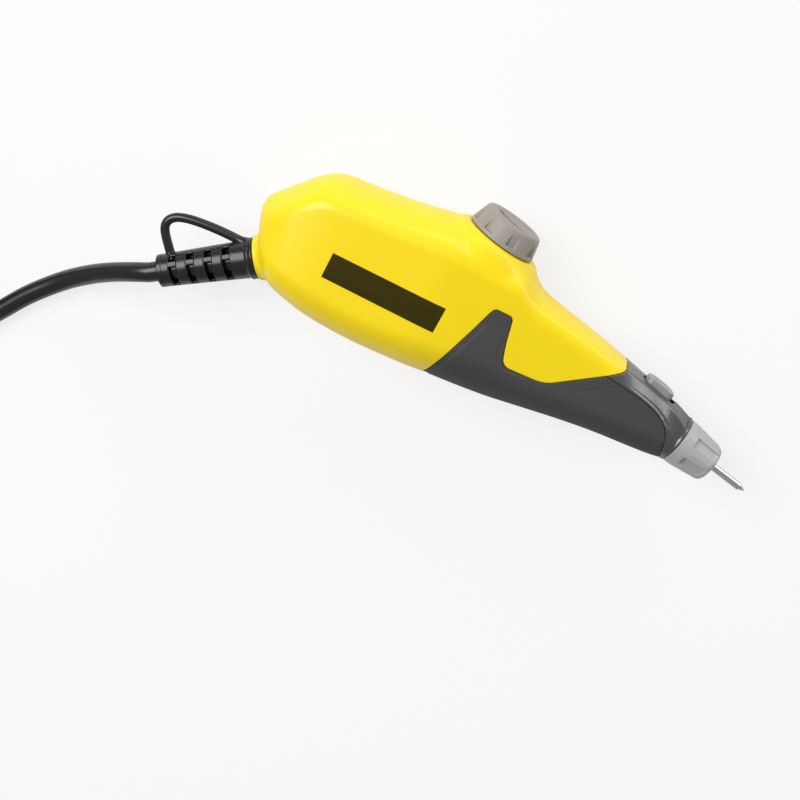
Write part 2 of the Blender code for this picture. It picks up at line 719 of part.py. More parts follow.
def pilot_bores(places):
    return [rod("pilot", SCREW_SHANK + GAP, -OVERRUN, SCREW_TIP + GAP, 8, None, flat_frame(x, y))
            for x, y in places]


def housing_screw(name, place):
    x, y = place
    seat = screw_seat(x, y) - GAP
    radius, height = SCREW_HEAD
    profile = [(0.0, seat - height), (radius * 0.75, seat - height), (radius, seat - height * 0.6),
               (radius, seat), (SCREW_SHANK, seat), (SCREW_SHANK, SCREW_TIP - SCREW_SHANK),
               (0.0, SCREW_TIP)]
    steel = material("screw_steel", STEEL, 0.35, 1.0)
    return turned(name, profile, 12, steel, flat_frame(x, y))


def lever_pivot():
    """The pivot lies square to the needle line, a lever arm below the holder's tail."""
    angle = math.radians(NEEDLE_TILT_DEG)
    tail = HOLDER_TAIL - GAP
    x = NOSE_CENTRE[0] + math.cos(angle) * tail - math.sin(angle) * LEVER_ARM
    y = NOSE_CENTRE[1] - math.sin(angle) * tail - math.cos(angle) * LEVER_ARM
    return x, y


def holder_place(along, up=0.0):
    """A place of the side view on the needle line."""
    angle = math.radians(NEEDLE_TILT_DEG)
    return (NOSE_CENTRE[0] + math.cos(angle) * along + math.sin(angle) * up,
            NOSE_CENTRE[1] - math.sin(angle) * along + math.cos(angle) * up)


def core_posts(side):
    foot = CORE_STACK / 2 + GAP
    y = CORE_Y[1] - CORE_YOKE / 2
    inset = CORE_LEG
    return [post(CORE_X[0] + inset, y, CORE_POST_RADIUS, side, foot),
            post(CORE_X[1] - inset, y, CORE_POST_RADIUS, side, foot)]


def clamp_posts():
    """Two posts of the left shell under the clamp bar, one each side of the cord."""
    places = [clamp_place(sign) for sign in (-1, 1)]
    posts = []
    for x, y in places:
        posts.append(rod("post", RIB_RADIUS, -MIDDLE, CORD_RADIUS, 10, None, flat_frame(x, y)))
    return posts, places


def clamp_place(sign):
    frame = RELIEF_FRAME
    place = frame @ Vector((sign * CLAMP_SCREW_SPREAD, 0.0, -clamp_middle()))
    return place.x, place.y


def clamp_middle():
    return SOCKET_DEPTH + RELIEF_ANCHOR[1] + 3 * GAP + max(RIB_RADIUS, CLAMP_SIZE[1] / 2)


def relief_socket(side):
    """The round socket of the rear that holds the strain relief, and its bore."""
    ring = rod("socket", RELIEF_SOCKET, -SOCKET_DEPTH, 0.0, 24, None, RELIEF_FRAME)
    ends = sorted((side * GAP, side * FAR))
    keep = slab("side", rectangle(2 * FAR, 2 * FAR), ends[0], ends[1], None, flat_frame())
    return ring, keep


def shell_half(name, side):
    """A yellow shell: the half wall, its socket and posts, cut along the seam."""
    finish = material("yellow_plastic", YELLOW, 0.32)
    shell = half_shell(name, side, finish)
    ring, keep = relief_socket(side)
    combine(ring, keep, "INTERSECT")
    combine(shell, ring, "UNION")
    combine(shell, shell_region(name + "_region", GAP / 2), "INTERSECT")
    posts = core_posts(side)
    posts += [post(x, y, POST_RADIUS, side) for x, y in SHELL_SCREWS]
    posts.append(post(ARMATURE_SPRING_X, SPRING_SEAT_Y, RIB_RADIUS, side))
    posts.append(post(STOP_X, stop_rib_y(), RIB_RADIUS, side))
    guide = holder_place(HOLDER_GUIDE)
    posts.append(post(guide[0], guide[1], POST_RADIUS, side, HOLDER_RADIUS + GAP))
    bores = []
    if side < 0:
        supports, places = clamp_posts()
        posts += supports
        for x, y in places:
            bores.append(rod("pilot", SCREW_SHANK + GAP, CORD_RADIUS - CLAMP_SCREW_DEPTH - OVERRUN,
                             CORD_RADIUS + OVERRUN, 8, None, flat_frame(x, y)))
        bores += screw_bores(SHELL_SCREWS)
    else:
        bores += pilot_bores(SHELL_SCREWS)
    combine(shell, posts_in_wall(name, posts), "UNION")
    neck, face, hole = RELIEF_NECK + GAP, RELIEF_SOCKET + GAP, CORD_RADIUS + GAP
    recess, step = RELIEF_ANCHOR[0] + GAP, -SOCKET_DEPTH - RELIEF_ANCHOR[1] - 2 * GAP
    seat, spot = GAP / 2 - SOCKET_DEPTH, -GAP / 2
    profile = [(0.0, -2 * SOCKET_DEPTH), (hole, -2 * SOCKET_DEPTH), (hole, step), (recess, step),
               (recess, seat), (neck, seat), (neck, spot), (face, spot), (face, 2 * WALL),
               (0.0, 2 * WALL)]
    bores.append(turned("bore", profile, 20, None, RELIEF_FRAME))
    bores.append(rod("bore", SHAFT_RADIUS + GAP, -SHAFT_COLLAR[1] - OVERRUN, OVERRUN, 16, None,
                     DIAL_FRAME))
    combine(shell, merged(name + "_bores", bores), "DIFFERENCE")
    return shell


def stop_rib_y():
    """The rib's middle, so that the stop pad lies on it under the lever at rest."""
    return stop_top() - STOP_SIZE[1] - GAP - RIB_RADIUS


def stop_top():
    """The stop pad's upper side, just under the lever's lower edge at rest."""
    px, py = lever_pivot()
    ends = [Matrix.Rotation(math.radians(LEVER_SWING_DEG), 2) @ Vector(point)
            for point in lever_low_edge()]
    heights = []
    for x in (STOP_X - STOP_SIZE[0] / 2, STOP_X + STOP_SIZE[0] / 2):
        share = (x - px - ends[0].x) / (ends[1].x - ends[0].x)
        heights.append(py + ends[0].y + share * (ends[1].y - ends[0].y))
    return min(heights) - GAP


def lever_low_edge():
    """The lower edge of the lever's long arm, from its rear end to the hub, from the pivot."""
    px, py = lever_pivot()
    reach = LEVER_HUB * math.sqrt(0.5)
    return (CORE_X[0] - px, lever_rear_y() - LEVER_THICK - py), (-reach, -reach)


def lever_rear_y():
    """The lever's upper side under the armature plate, when it is pulled up."""
    return CORE_Y[0] - GAP - ARMATURE_THICK - GAP


def grip_half(name, side):
    finish = material("soft_grip", SOFT_GREY, 0.75)
    grip = half_shell(name, side, finish)
    combine(grip, shell_region(name + "_shell", -GAP / 2), "DIFFERENCE")
    combine(grip, nose_region(name + "_nose", -GAP / 2), "DIFFERENCE")
    px, py = lever_pivot()
    posts = [post(px, py, POST_RADIUS, side, LEVER_WIDTH / 2 + GAP)]
    posts += [post(x, y, POST_RADIUS, side) for x, y in GRIP_SCREWS]
    combine(grip, posts_in_wall(name, posts), "UNION")
    pin_end = pin_half_length() + GAP
    bores = [rod("bore", PIN_RADIUS + GAP, -pin_end, pin_end, 12, None, flat_frame(px, py))]
    bores += screw_bores(GRIP_SCREWS) if side < 0 else pilot_bores(GRIP_SCREWS)
    combine(grip, merged(name + "_bores", bores), "DIFFERENCE")
    return grip


def pin_half_length():
    px, py = lever_pivot()
    return half_width_at(px, py) - WALL


def nose_sleeve():
    finish = material("hard_grey_plastic", HARD_GREY, 0.38)
    nose = whole_loft("nose_sleeve", OUTER_COUNTS, 14, 0.0, 0.74, 1.0, finish)
    cavity_end = nose_cavity_share()
    combine(nose, whole_loft("nose_cavity", INNER_COUNTS, 8, NOSE_WALL, 0.70, cavity_end),
            "DIFFERENCE")
    combine(nose, shell_region("nose_shell", -GAP / 2), "DIFFERENCE")
    combine(nose, nose_region("nose_seam", GAP / 2), "INTERSECT")
    slot_length = BUTTON_SIZE[0] + SWITCH_TRAVEL + 4 * GAP
    slot = slab("slot", rectangle(slot_length, BUTTON_SIZE[1] + 2 * GAP, BUTTON_CORNER),
                -2 * WALL, 2 * WALL, None, along_nose(BUTTON_SHIFT + SWITCH_TRAVEL / 2))
    wide, narrow = BUSH_FLANGE[0] + GAP, BUSH_RADIUS + GAP
    rear, step = -2 * NOSE_FRONT_WALL, -NOSE_FRONT_WALL - GAP
    profile = [(0.0, rear), (wide, rear), (wide, step), (narrow, step), (narrow, OVERRUN),
               (0.0, OVERRUN)]
    bore = turned("bore", profile, 24, None, NEEDLE_FRAME)
    combine(nose, merged("nose_cuts", [slot, bore]), "DIFFERENCE")
    return nose


def nose_cavity_share():
    """Where the cavity ends, a front wall behind the nut."""
    target = holder_place(-NOSE_FRONT_WALL)[0]
    shares = np.linspace(0.8, 1.0, 200)
    middles = [section_at(share)[[0, 2]].mean() for share in shares]
    return float(shares[int(np.argmin(np.abs(np.array(middles) - target)))])


# Dial

def stroke_dial():
    finish = material("dial_grey_plastic", DIAL_GREY, 0.42)
    base = GAP
    top = DIAL_HEIGHT + GAP
    dish = 4
    profile = [(0.0, base), (DIAL_RADIUS - DIAL_FLANGE / 3, base), (DIAL_RADIUS, base + GAP),
               (DIAL_RADIUS, base + DIAL_FLANGE * 0.8), (DIAL_RADIUS - GAP, base + DIAL_FLANGE)]
    for step in range(4):
        angle = math.radians(15 + 75 * step / 3)
        profile.append((DIAL_TOP_RADIUS - DIAL_EDGE * (1 - math.cos(angle)),
                        top - DIAL_EDGE * (1 - math.sin(angle))))
    rim = DIAL_TOP_RADIUS - DIAL_EDGE - DIAL_RIM / 3
    for step in range(dish):
        t = 1 - step / dish
        profile.append((rim * t, top - DIAL_DISH * (1 - t * t)))
    profile.append((0.0, top - DIAL_DISH))
    dial = turned("stroke_dial", profile, 32, finish, DIAL_FRAME)
    tools = []
    floor = DIAL_RADIUS - GAP - DIAL_POCKET_DEPTH
    first = math.radians(DIAL_POCKET_TURN_DEG)
    for number in range(DIAL_POCKETS):
        turn = Matrix.Rotation(first + 2 * math.pi * number / DIAL_POCKETS, 4, "Z")
        shift = Matrix.Translation((floor + DIAL_RADIUS / 2, 0, 0))
        tools.append(slab("pocket", rectangle(DIAL_RADIUS, DIAL_POCKET_WIDTH),
                          base + DIAL_FLANGE + GAP, top + OVERRUN, None,
                          DIAL_FRAME @ turn @ shift))
    length, width, depth = DIAL_SLOT
    slot_turn = Matrix.Rotation(math.radians(DIAL_SLOT_TURN_DEG), 4, "Z")
    tools.append(slab("finger_slot", rectangle(width, length, width / 2.1), top - DIAL_DISH - depth,
                      top + OVERRUN, None, DIAL_FRAME @ slot_turn))
    combine(dial, merged("dial_cuts", tools), "DIFFERENCE")
    return dial


def dial_shaft():
    """The shaft under the dial, with the collar that keeps it in the roof."""
    radius, depth, height = SHAFT_COLLAR
    spigot, step = SHAFT_RADIUS / 2, -SHAFT_LENGTH + CAM_HEIGHT * 2
    profile = [(0.0, 0.0), (SHAFT_RADIUS, 0.0), (SHAFT_RADIUS, -depth), (radius, -depth),
               (radius, -depth - height), (SHAFT_RADIUS, -depth - height), (SHAFT_RADIUS, step),
               (spigot, step), (spigot, -SHAFT_LENGTH), (0.0, -SHAFT_LENGTH)]
    steel = material("turned_steel", STEEL, 0.3, 1.0)
    return turned("dial_shaft", profile, 16, steel, DIAL_FRAME)


def dial_cam():
    """A ring whose lower face climbs once round, so that turning it sets the stroke."""
    inner, outer = SHAFT_RADIUS / 2 + GAP, CAM_RADIUS
    top = -SHAFT_LENGTH + CAM_HEIGHT * 2 - GAP
    points = []
    faces = []
    for step in range(CAM_STEPS + 1):
        angle = 2 * math.pi * 0.97 * step / CAM_STEPS
        low = top - CAM_HEIGHT - CAM_RISE * (1 - step / CAM_STEPS)
        way = (math.cos(angle), math.sin(angle))
        for radius, height in ((inner, top), (outer, top), (outer, low), (inner, low)):
            points.append((way[0] * radius, way[1] * radius, height))
    for step in range(CAM_STEPS):
        a = 4 * step
        for k in range(4):
            faces.append((a + k, a + (k + 1) % 4, a + 4 + (k + 1) % 4, a + 4 + k))
    last = 4 * CAM_STEPS
    faces.append((0, 1, 2, 3))
    faces.append((last, last + 1, last + 2, last + 3))
    brass = material("brass", BRASS, 0.35, 1.0)
    return mesh_piece("dial_cam", points, faces, brass, DIAL_FRAME)


# Switch

def along_nose(length):
    """The switch frame moved along the nose, positive towards the needle."""
    return SWITCH_FRAME @ Matrix.Translation((-length, 0.0, 0.0))


def switch_button():
    """A slide button with rounded ends, a crowned top and a root in the slot."""
    finish = material("button_grey_plastic", BUTTON_GREY, 0.35)
    work = bmesh.new()
    rings = []
    crown = ((0.0, -BUTTON_ROOT), (0.0, BUTTON_RISE * 0.55), (0.12, BUTTON_RISE * 0.8),
             (0.30, BUTTON_RISE * 0.94), (0.55, BUTTON_RISE))
    for draw, height in crown:
        inset = draw * BUTTON_CORNER
        outline = rectangle(BUTTON_SIZE[0] - 2 * inset, BUTTON_SIZE[1] - 2 * inset,
                            max(BUTTON_CORNER - inset, GAP), 5)
        rings.append([work.verts.new((x, y, height)) for x, y in outline])
    for low, high in zip(rings, rings[1:]):
        for i in range(len(low)):
            j = (i + 1) % len(low)
            work.faces.new((low[i], low[j], high[j], high[i]))
    work.faces.new(rings[0])
    work.faces.new(rings[-1])
    return finish_mesh("switch_button", work, finish, along_nose(BUTTON_SHIFT))


def switch_inside():
    """The slide bar under the roof, the switch's base and its two contact blades."""
    nylon = material("nylon", NYLON, 0.5)
    brass = material("brass", BRASS, 0.35, 1.0)
    black = material("black_plastic", BLACK, 0.4)
    length, width, height = SLIDE_SIZE
    top = -BUTTON_ROOT - GAP
    slab("switch_slide", rectangle(length, width, height), top - height, top, nylon,
         along_nose(SLIDE_SHIFT))
    length, width, base_height = SWITCH_BASE_SIZE
    base_top = top - height - GAP
    slab("switch_base", rectangle(length, width, base_height / 2), base_top - base_height,
         base_top, black, along_nose(SLIDE_SHIFT))
    blade, blade_width, blade_height = CONTACT_SIZE
    for number, sign in ((1, 1), (2, -1)):
        back = SLIDE_SHIFT - length / 2 - GAP - blade / 2
        place = along_nose(back) @ Matrix.Translation((0.0, sign * CONTACT_SPREAD, 0.0))
        middle = base_top - base_height / 2
        slab(f"switch_contact_{number}", rectangle(blade, blade_width),
             middle - blade_height / 2, middle + blade_height / 2, brass, place)


# Nut, bush, needle

def union_nut():
    finish = material("nut_grey_plastic", NUT_GREY, 0.4)
    mouth, mouth_rise = NUT_BOSS
    waist, waist_radius = NUT_SHOULDER
    bore_end = BUSH_FRONT + GAP
    profile = [(NUT_BORE, 0.0), (NUT_RADIUS - GAP, 0.0), (NUT_RADIUS, GAP),
               (NUT_RADIUS - GAP / 2, NUT_COLLAR), (waist_radius, waist)]
    for step in range(1, 4):
        angle = math.radians(90 * step / 3)
        profile.append((NUT_FRONT_RADIUS + (waist_radius - NUT_FRONT_RADIUS) * math.cos(angle),
                        waist + (NUT_LENGTH - waist) * math.sin(angle)))
    profile += [(mouth + mouth_rise / 2, NUT_LENGTH), (mouth, NUT_LENGTH + mouth_rise),
                (NEEDLE_RADIUS + GAP, NUT_LENGTH + mouth_rise),
                (NEEDLE_RADIUS + GAP, HOLDER_FRONT + OVERRUN),
                (HOLDER_RADIUS + 2 * GAP, HOLDER_FRONT + OVERRUN),
                (HOLDER_RADIUS + 2 * GAP, bore_end), (NUT_BORE, bore_end)]
    nut = turned("union_nut", profile, 32, finish, NEEDLE_FRAME)
    tools = []
    floor = waist_radius - NUT_POCKET_DEPTH
    slope = math.atan2(NUT_RADIUS - waist_radius, waist - NUT_COLLAR)
    for number in range(NUT_POCKETS):
        turn = Matrix.Rotation(2 * math.pi * (number + 0.5) / NUT_POCKETS, 4, "Z")
        lean = Matrix.Translation((floor, 0, waist)) @ Matrix.Rotation(-slope, 4, "Y")
        shift = Matrix.Translation((NUT_RADIUS / 2, 0, 0))
        tools.append(slab("pocket", rectangle(NUT_RADIUS, NUT_POCKET_WIDTH),
                          NUT_POCKET_START - waist, NUT_LENGTH, None,
                          NEEDLE_FRAME @ turn @ lean @ shift))
    combine(nut, merged("nut_cuts", tools), "DIFFERENCE")
    return nut


def guide_bush():
    """The bush that guides the holder; its flange sits behind the nose's front wall."""
    radius, thickness = BUSH_FLANGE
    face = -NOSE_FRONT_WALL - 2 * GAP
    profile = [(BUSH_BORE, BUSH_REAR), (BUSH_RADIUS, BUSH_REAR), (BUSH_RADIUS, face - thickness),
               (radius, face - thickness), (radius, face), (BUSH_RADIUS, face),
               (BUSH_RADIUS, BUSH_FRONT - GAP), (BUSH_RADIUS - GAP, BUSH_FRONT),
               (BUSH_BORE, BUSH_FRONT)]
    return turned("guide_bush", profile, 16, material("brass", BRASS, 0.35, 1.0), NEEDLE_FRAME)


def needle_and_holder():
    steel = material("needle_steel", STEEL, 0.15, 1.0)
    bore, depth = HOLDER_BORE
    start = HOLDER_FRONT - depth + GAP
    step = HOLDER_FRONT + GAP
    profile = [(0.0, start), (NEEDLE_SHANK_RADIUS, start), (NEEDLE_SHANK_RADIUS, step),
               (NEEDLE_RADIUS, step), (NEEDLE_RADIUS, NEEDLE_TIP - NEEDLE_CONE),
               (0.0, NEEDLE_TIP)]
    turned("needle", profile, 16, steel, NEEDLE_FRAME)
    radius, place, width = HOLDER_COLLAR
    dome = HOLDER_RADIUS / 2
    profile = [(0.0, HOLDER_TAIL), (dome, HOLDER_TAIL), (HOLDER_RADIUS, HOLDER_TAIL + dome / 2),
               (HOLDER_RADIUS, place), (radius, place), (radius, place + width),
               (HOLDER_RADIUS, place + width), (HOLDER_RADIUS, HOLDER_FRONT),
               (bore, HOLDER_FRONT), (bore, HOLDER_FRONT - depth), (0.0, HOLDER_FRONT - depth)]
    turned("needle_holder", profile, 16, material("turned_steel", STEEL, 0.3, 1.0), NEEDLE_FRAME)


def spring(name, radius, wire_radius, turns, start, end, matrix):
    """A compression spring along local Z, from start to end, 8 points a turn."""
    count = turns * 8
    low, high = start + wire_radius, end - wire_radius
    points = []
    for step in range(count + 1):
        angle = 2 * math.pi * step / 8
        local = Vector((radius * math.cos(angle), radius * math.sin(angle),
                        low + (high - low) * step / count))
        points.append(matrix @ local)
    return wire(name, points, wire_radius, material("spring_steel", STEEL, 0.3, 1.0))


def needle_spring():
    radius, wire_radius, turns = NEEDLE_SPRING
    start = HOLDER_COLLAR[1] + HOLDER_COLLAR[2] + GAP
    return spring("needle_spring", radius, wire_radius, turns, start, BUSH_REAR - GAP,
                  NEEDLE_FRAME)


# Electromagnet and lever

def core_stack():
    left, right = CORE_X
    low, high = CORE_Y
    middle = (left + right) / 2
    window = high - CORE_YOKE
    outline = [(left, low), (left + CORE_LEG, low), (left + CORE_LEG, window),
               (middle - CORE_MIDDLE_LEG / 2, window), (middle - CORE_MIDDLE_LEG / 2, low),
               (middle + CORE_MIDDLE_LEG / 2, low), (middle + CORE_MIDDLE_LEG / 2, window),
               (right - CORE_LEG, window), (right - CORE_LEG, low), (right, low), (right, high),
               (left, high)]
    iron = material("laminated_iron", IRON, 0.5, 0.8)
    return slab("core_stack", outline, -CORE_STACK / 2, CORE_STACK / 2, iron, flat_frame())


def coil_frame():
    """A frame on the middle leg, local Z along the leg and local Y along the stack."""
    return line_frame(((CORE_X[0] + CORE_X[1]) / 2, 0.0), 90.0)


def coil_levels():
    low = CORE_Y[0] + 2 * GAP
    return low, CORE_Y[1] - CORE_YOKE - GAP


def loop_solid(name, hole, outline, low, high, finish, matrix):
    """A slab with a hole through it."""
    body = slab(name, outline, low, high, finish, matrix)
    tool = slab(name + "_hole", hole, low - OVERRUN, high + OVERRUN, None, matrix)
    combine(body, tool, "DIFFERENCE")
    return body


def coil_bobbin():
    low, high = coil_levels()
    leg = (CORE_MIDDLE_LEG + 2 * GAP, CORE_STACK + 2 * GAP)
    tube = (leg[0] + 2 * BOBBIN_WALL, leg[1] + 2 * BOBBIN_WALL)
    flange = rectangle(CORE_MIDDLE_LEG + 2 * BOBBIN_OVERHANG, CORE_STACK + 2 * BOBBIN_OVERHANG,
                       WINDING_CORNER)
    black = material("black_plastic", BLACK, 0.4)
    bobbin = loop_solid("coil_bobbin", rectangle(*leg), flange, low, high, black, coil_frame())
    cut = slab("coil_space", rectangle(2 * FAR, 2 * FAR), low + BOBBIN_WALL, high - BOBBIN_WALL,
               None, coil_frame())
    keep = slab("coil_tube", rectangle(*tube), low - OVERRUN, high + OVERRUN, None, coil_frame())
    combine(cut, keep, "DIFFERENCE")
    combine(bobbin, cut, "DIFFERENCE")
    return bobbin


def coil_winding():
    low, high = coil_levels()
    reach = 2 * (BOBBIN_OVERHANG - WINDING_INSET)
    grown = 2 * (BOBBIN_WALL + 2 * GAP)
    outline = rectangle(CORE_MIDDLE_LEG + reach, CORE_STACK + reach, WINDING_CORNER)
    hole = rectangle(CORE_MIDDLE_LEG + grown, CORE_STACK + grown, BOBBIN_WALL)
    copper = material("copper_wire", COPPER, 0.35, 1.0)
    return loop_solid("coil_winding", hole, outline, low + BOBBIN_WALL + GAP,
                      high - BOBBIN_WALL - GAP, copper, coil_frame())


def lever_frame():
    """The lever's pivot, with the lever swung back to rest."""
    px, py = lever_pivot()
    return flat_frame(px, py, 0.0, LEVER_SWING_DEG)


def armature_lever():
    """A bell crank: a long arm to the core, a hub on the pin, a short arm to the needle holder."""
    px, py = lever_pivot()
    top, rear = lever_rear_y() - py, CORE_X[0] - px
    lift = math.radians(90.0 - NEEDLE_TILT_DEG)
    up = (math.cos(lift), math.sin(lift))
    out = (math.sin(lift), -math.cos(lift))
    head_middle = [up[k] * LEVER_ARM - out[k] * LEVER_HEAD for k in range(2)]
    outline = [lever_low_edge()[0]]
    for step in range(7):
        angle = math.radians(-135 + 150 * step / 6)
        outline.append((LEVER_HUB * math.cos(angle), LEVER_HUB * math.sin(angle)))
    for step in range(7):
        angle = math.radians(-NEEDLE_TILT_DEG - 30 + 180 * step / 6)
        outline.append((head_middle[0] + LEVER_HEAD * math.cos(angle),
                        head_middle[1] + LEVER_HEAD * math.sin(angle)))
    outline += [(-LEVER_HEAD, LEVER_HUB), (-LEVER_HUB * 1.4, top - LEVER_THICK * 0.4),
                (-LEVER_HUB * 4, top), (rear, top)]
    steel = material("lever_steel", IRON, 0.4, 1.0)
    return loop_solid("armature_lever", circle(PIN_RADIUS + GAP, 12), outline, -LEVER_WIDTH / 2,
                      LEVER_WIDTH / 2, steel, lever_frame())


def circle(radius, steps):
    return [(radius * math.cos(2 * math.pi * i / steps), radius * math.sin(2 * math.pi * i / steps))
            for i in range(steps)]


def armature_plate():
    px, py = lever_pivot()
    low = lever_rear_y() + GAP - py
    outline = [(CORE_X[0] - px, low), (CORE_X[1] - px, low), (CORE_X[1] - px, low + ARMATURE_THICK),
               (CORE_X[0] - px, low + ARMATURE_THICK)]
    iron = material("laminated_iron", IRON, 0.5, 0.8)
    return slab("armature_plate", outline, -CORE_STACK / 2, CORE_STACK / 2, iron, lever_frame())


def pivot_pin():
    px, py = lever_pivot()
    half = pin_half_length()
    steel = material("turned_steel", STEEL, 0.3, 1.0)
    return rod("pivot_pin", PIN_RADIUS, -half, half, 12, steel, flat_frame(px, py))


def armature_spring():
    """The spring between the lever and a rib of the shells."""
    px, py = lever_pivot()
    radius, wire_radius, turns = ARMATURE_SPRING
    swing = math.radians(LEVER_SWING_DEG)
    reach = px - ARMATURE_SPRING_X + radius
    start = py + (lever_rear_y() - py) * math.cos(swing) - reach * math.sin(swing)
    end = SPRING_SEAT_Y - RIB_RADIUS
    matrix = line_frame((ARMATURE_SPRING_X, 0.0), 90.0)
    return spring("armature_spring", radius, wire_radius, turns, start + 3 * GAP, end - GAP,
                  matrix)


def stop_pad():
    top = stop_top()
    length, height, width = STOP_SIZE
    outline = [(-length / 2, top - height), (length / 2, top - height), (length / 2, top),
               (-length / 2, top)]
    rubber = material("black_rubber", BLACK, 0.7)
    return slab("stop_pad", outline, -width / 2, width / 2, rubber, flat_frame(STOP_X, 0.0))


# Cord

def strain_relief():
    """The moulded boot: anchor and neck in the socket, double rim, slotted taper, hanging loop."""
    rubber = material("black_rubber", BLACK, 0.45)
    radius, thickness = RELIEF_ANCHOR
    rim = RELIEF_RADIUS + GAP
    inner = -SOCKET_DEPTH - GAP
    end = RELIEF_LENGTH
    profile = [(0.0, inner - thickness), (radius, inner - thickness), (radius, inner),
               (RELIEF_NECK, inner), (RELIEF_NECK, GAP), (rim, GAP), (rim, 4 * GAP),
               (RELIEF_RADIUS - GAP, 5 * GAP), (RELIEF_RADIUS, 6 * GAP),
               (rim, 9 * GAP), (RELIEF_RADIUS - GAP, 11 * GAP)]
    for step in range(5):
        angle = math.radians(90 * step / 4)
        profile.append((RELIEF_TIP_RADIUS * (0.66 + 0.34 * math.cos(angle)),
                        end - RELIEF_TIP_RADIUS * 0.3 * (1 - math.sin(angle))))
    profile.append((0.0, end))
    boot = turned("strain_relief", profile, 24, rubber, RELIEF_FRAME, 40.0)
    points = [Vector((-up, 0.0, along)) for along, up in LOOP_POINTS]
    route = smooth_route(points, 2.0 * LOOP_STRAND)
    strand = wire("loop_route", route, LOOP_STRAND, None, 1)
    solid = bpy.data.meshes.new_from_object(strand)
    bpy.data.objects.remove(strand)
    combine(boot, add_object("loop_solid", solid, None, RELIEF_FRAME), "UNION")
    tools = []
    half = math.radians(SLOT_HALF_ANGLE_DEG)
    for number in range(SLOT_COUNT):
        place = SLOT_FIRST + SLOT_PITCH * number
        for turn in (0.0, math.pi):
            outline = []
            for reach, way in ((SLOT_CORE, 1), (RELIEF_SOCKET + OVERRUN, -1)):
                for step in range(5):
                    angle = math.pi / 2 + way * half * (step / 2 - 1)
                    outline.append((reach * math.cos(angle), reach * math.sin(angle)))
            tools.append(slab("slot", outline, place - SLOT_WIDTH / 2, place + SLOT_WIDTH / 2, None,
                              RELIEF_FRAME @ Matrix.Rotation(turn, 4, "Z")))
    combine(boot, merged("relief_slots", tools), "DIFFERENCE")
    return boot


def cord_inside():
    """The end of the cord's jacket inside the rear, and the bar that clamps it."""
    jacket = material("cord_jacket", BLACK, 0.35)
    start = SOCKET_DEPTH + GAP + RELIEF_ANCHOR[1] + GAP
    rod("cord_tail", CORD_RADIUS - GAP, -CORD_TAIL, -start, 16, jacket, RELIEF_FRAME)
    length, width, height = CLAMP_SIZE
    nylon = material("nylon", NYLON, 0.5)
    low = CORD_RADIUS + GAP
    place = RELIEF_FRAME @ Vector((0.0, 0.0, -clamp_middle()))
    matrix = flat_frame(place.x, place.y, 0.0, RELIEF_ANGLE_DEG + 90.0)
    bar = slab("cord_clamp", rectangle(length, width, width / 3), low, low + height, nylon, matrix)
    holes = []
    for number, sign in ((1, -1), (2, 1)):
        x, y = clamp_place(sign)
        holes.append(rod("hole", SCREW_SHANK + GAP, low - OVERRUN, low + height + OVERRUN, 12, None,
                         flat_frame(x, y)))
        seat = low + height + GAP
        radius = SCREW_HEAD[0] * 0.8
        tip = CORD_RADIUS - CLAMP_SCREW_DEPTH
        profile = [(0.0, tip), (SCREW_SHANK, tip + SCREW_SHANK / 2),
                   (SCREW_SHANK, seat), (radius, seat), (radius, seat + SCREW_HEAD[1] * 0.6),
                   (radius * 0.7, seat + SCREW_HEAD[1] * 0.8), (0.0, seat + SCREW_HEAD[1] * 0.8)]
        turned(f"clamp_screw_{number}", profile, 12, material("screw_steel", STEEL, 0.35, 1.0),
               flat_frame(x, y))
    combine(bar, merged("clamp_holes", holes), "DIFFERENCE")


def leads():
    """The three insulated wires between the cord, the switch and the winding."""
    brown = material("brown_insulation", BROWN, 0.4)
    blue = material("blue_insulation", BLUE, 0.4)
    tail = RELIEF_FRAME @ Vector((0.0, 0.0, -CORD_TAIL - GAP - LEAD_RADIUS))
    contact = along_nose(SLIDE_SHIFT - SWITCH_BASE_SIZE[0] / 2 - CONTACT_SIZE[0] - 3 * GAP)
    top = -BUTTON_ROOT - 2 * GAP - SLIDE_SIZE[2] - SWITCH_BASE_SIZE[2] / 2
    blade = contact @ Vector((0.0, CONTACT_SPREAD, top))
    route = [tail + Vector((0.0, 0.0, 2 * LEAD_RADIUS))]
    route += [Vector((x, y, MIDDLE + z)) for x, y, z in LIVE_ROUTE]
    wire("lead_live", smooth_route(route + [blade], 5.0 * LEAD_RADIUS), LEAD_RADIUS, brown)
    beside_coil = Vector((0.0, 0.0, -CORE_STACK / 2 - BOBBIN_OVERHANG - GAP - LEAD_RADIUS))
    end = Vector((CORE_X[0] + CORE_LEG, coil_levels()[1] - WINDING_CORNER, MIDDLE)) + beside_coil
    route = [tail + Vector((0.0, LEAD_RADIUS, -2 * LEAD_RADIUS))]
    route += [Vector((x, y, MIDDLE + z)) for x, y, z in NEUTRAL_ROUTE]
    wire("lead_neutral", smooth_route(route + [end], 4.0 * LEAD_RADIUS), LEAD_RADIUS, blue)


def coil_points():
    """Loops that spiral in on the surface, climb a layer in half a turn and spiral out again."""
    half = COIL_TURNS / 2
    count = round(COIL_TURNS * COIL_TURN_POINTS)
    low = CORD_RADIUS + GAP / 3
    points = []
    for step in range(count + 1):
        turn = COIL_TURNS * step / count
        radius = COIL_OUTER - COIL_PITCH * (half - abs(turn - half))
        rise = min(max((turn - half) / 0.5 + 0.5, 0.0), 1.0)
        rise = rise * rise * (3 - 2 * rise)
        angle = math.radians(COIL_START_DEG) - 2 * math.pi * turn
        height = low + COIL_LAYER * rise + TIE_LIFT * tie_share(angle)
        points.append(Vector((COIL_CENTRE[0] + radius * math.cos(angle),
                              COIL_CENTRE[1] + radius * math.sin(angle), height)))
    return points


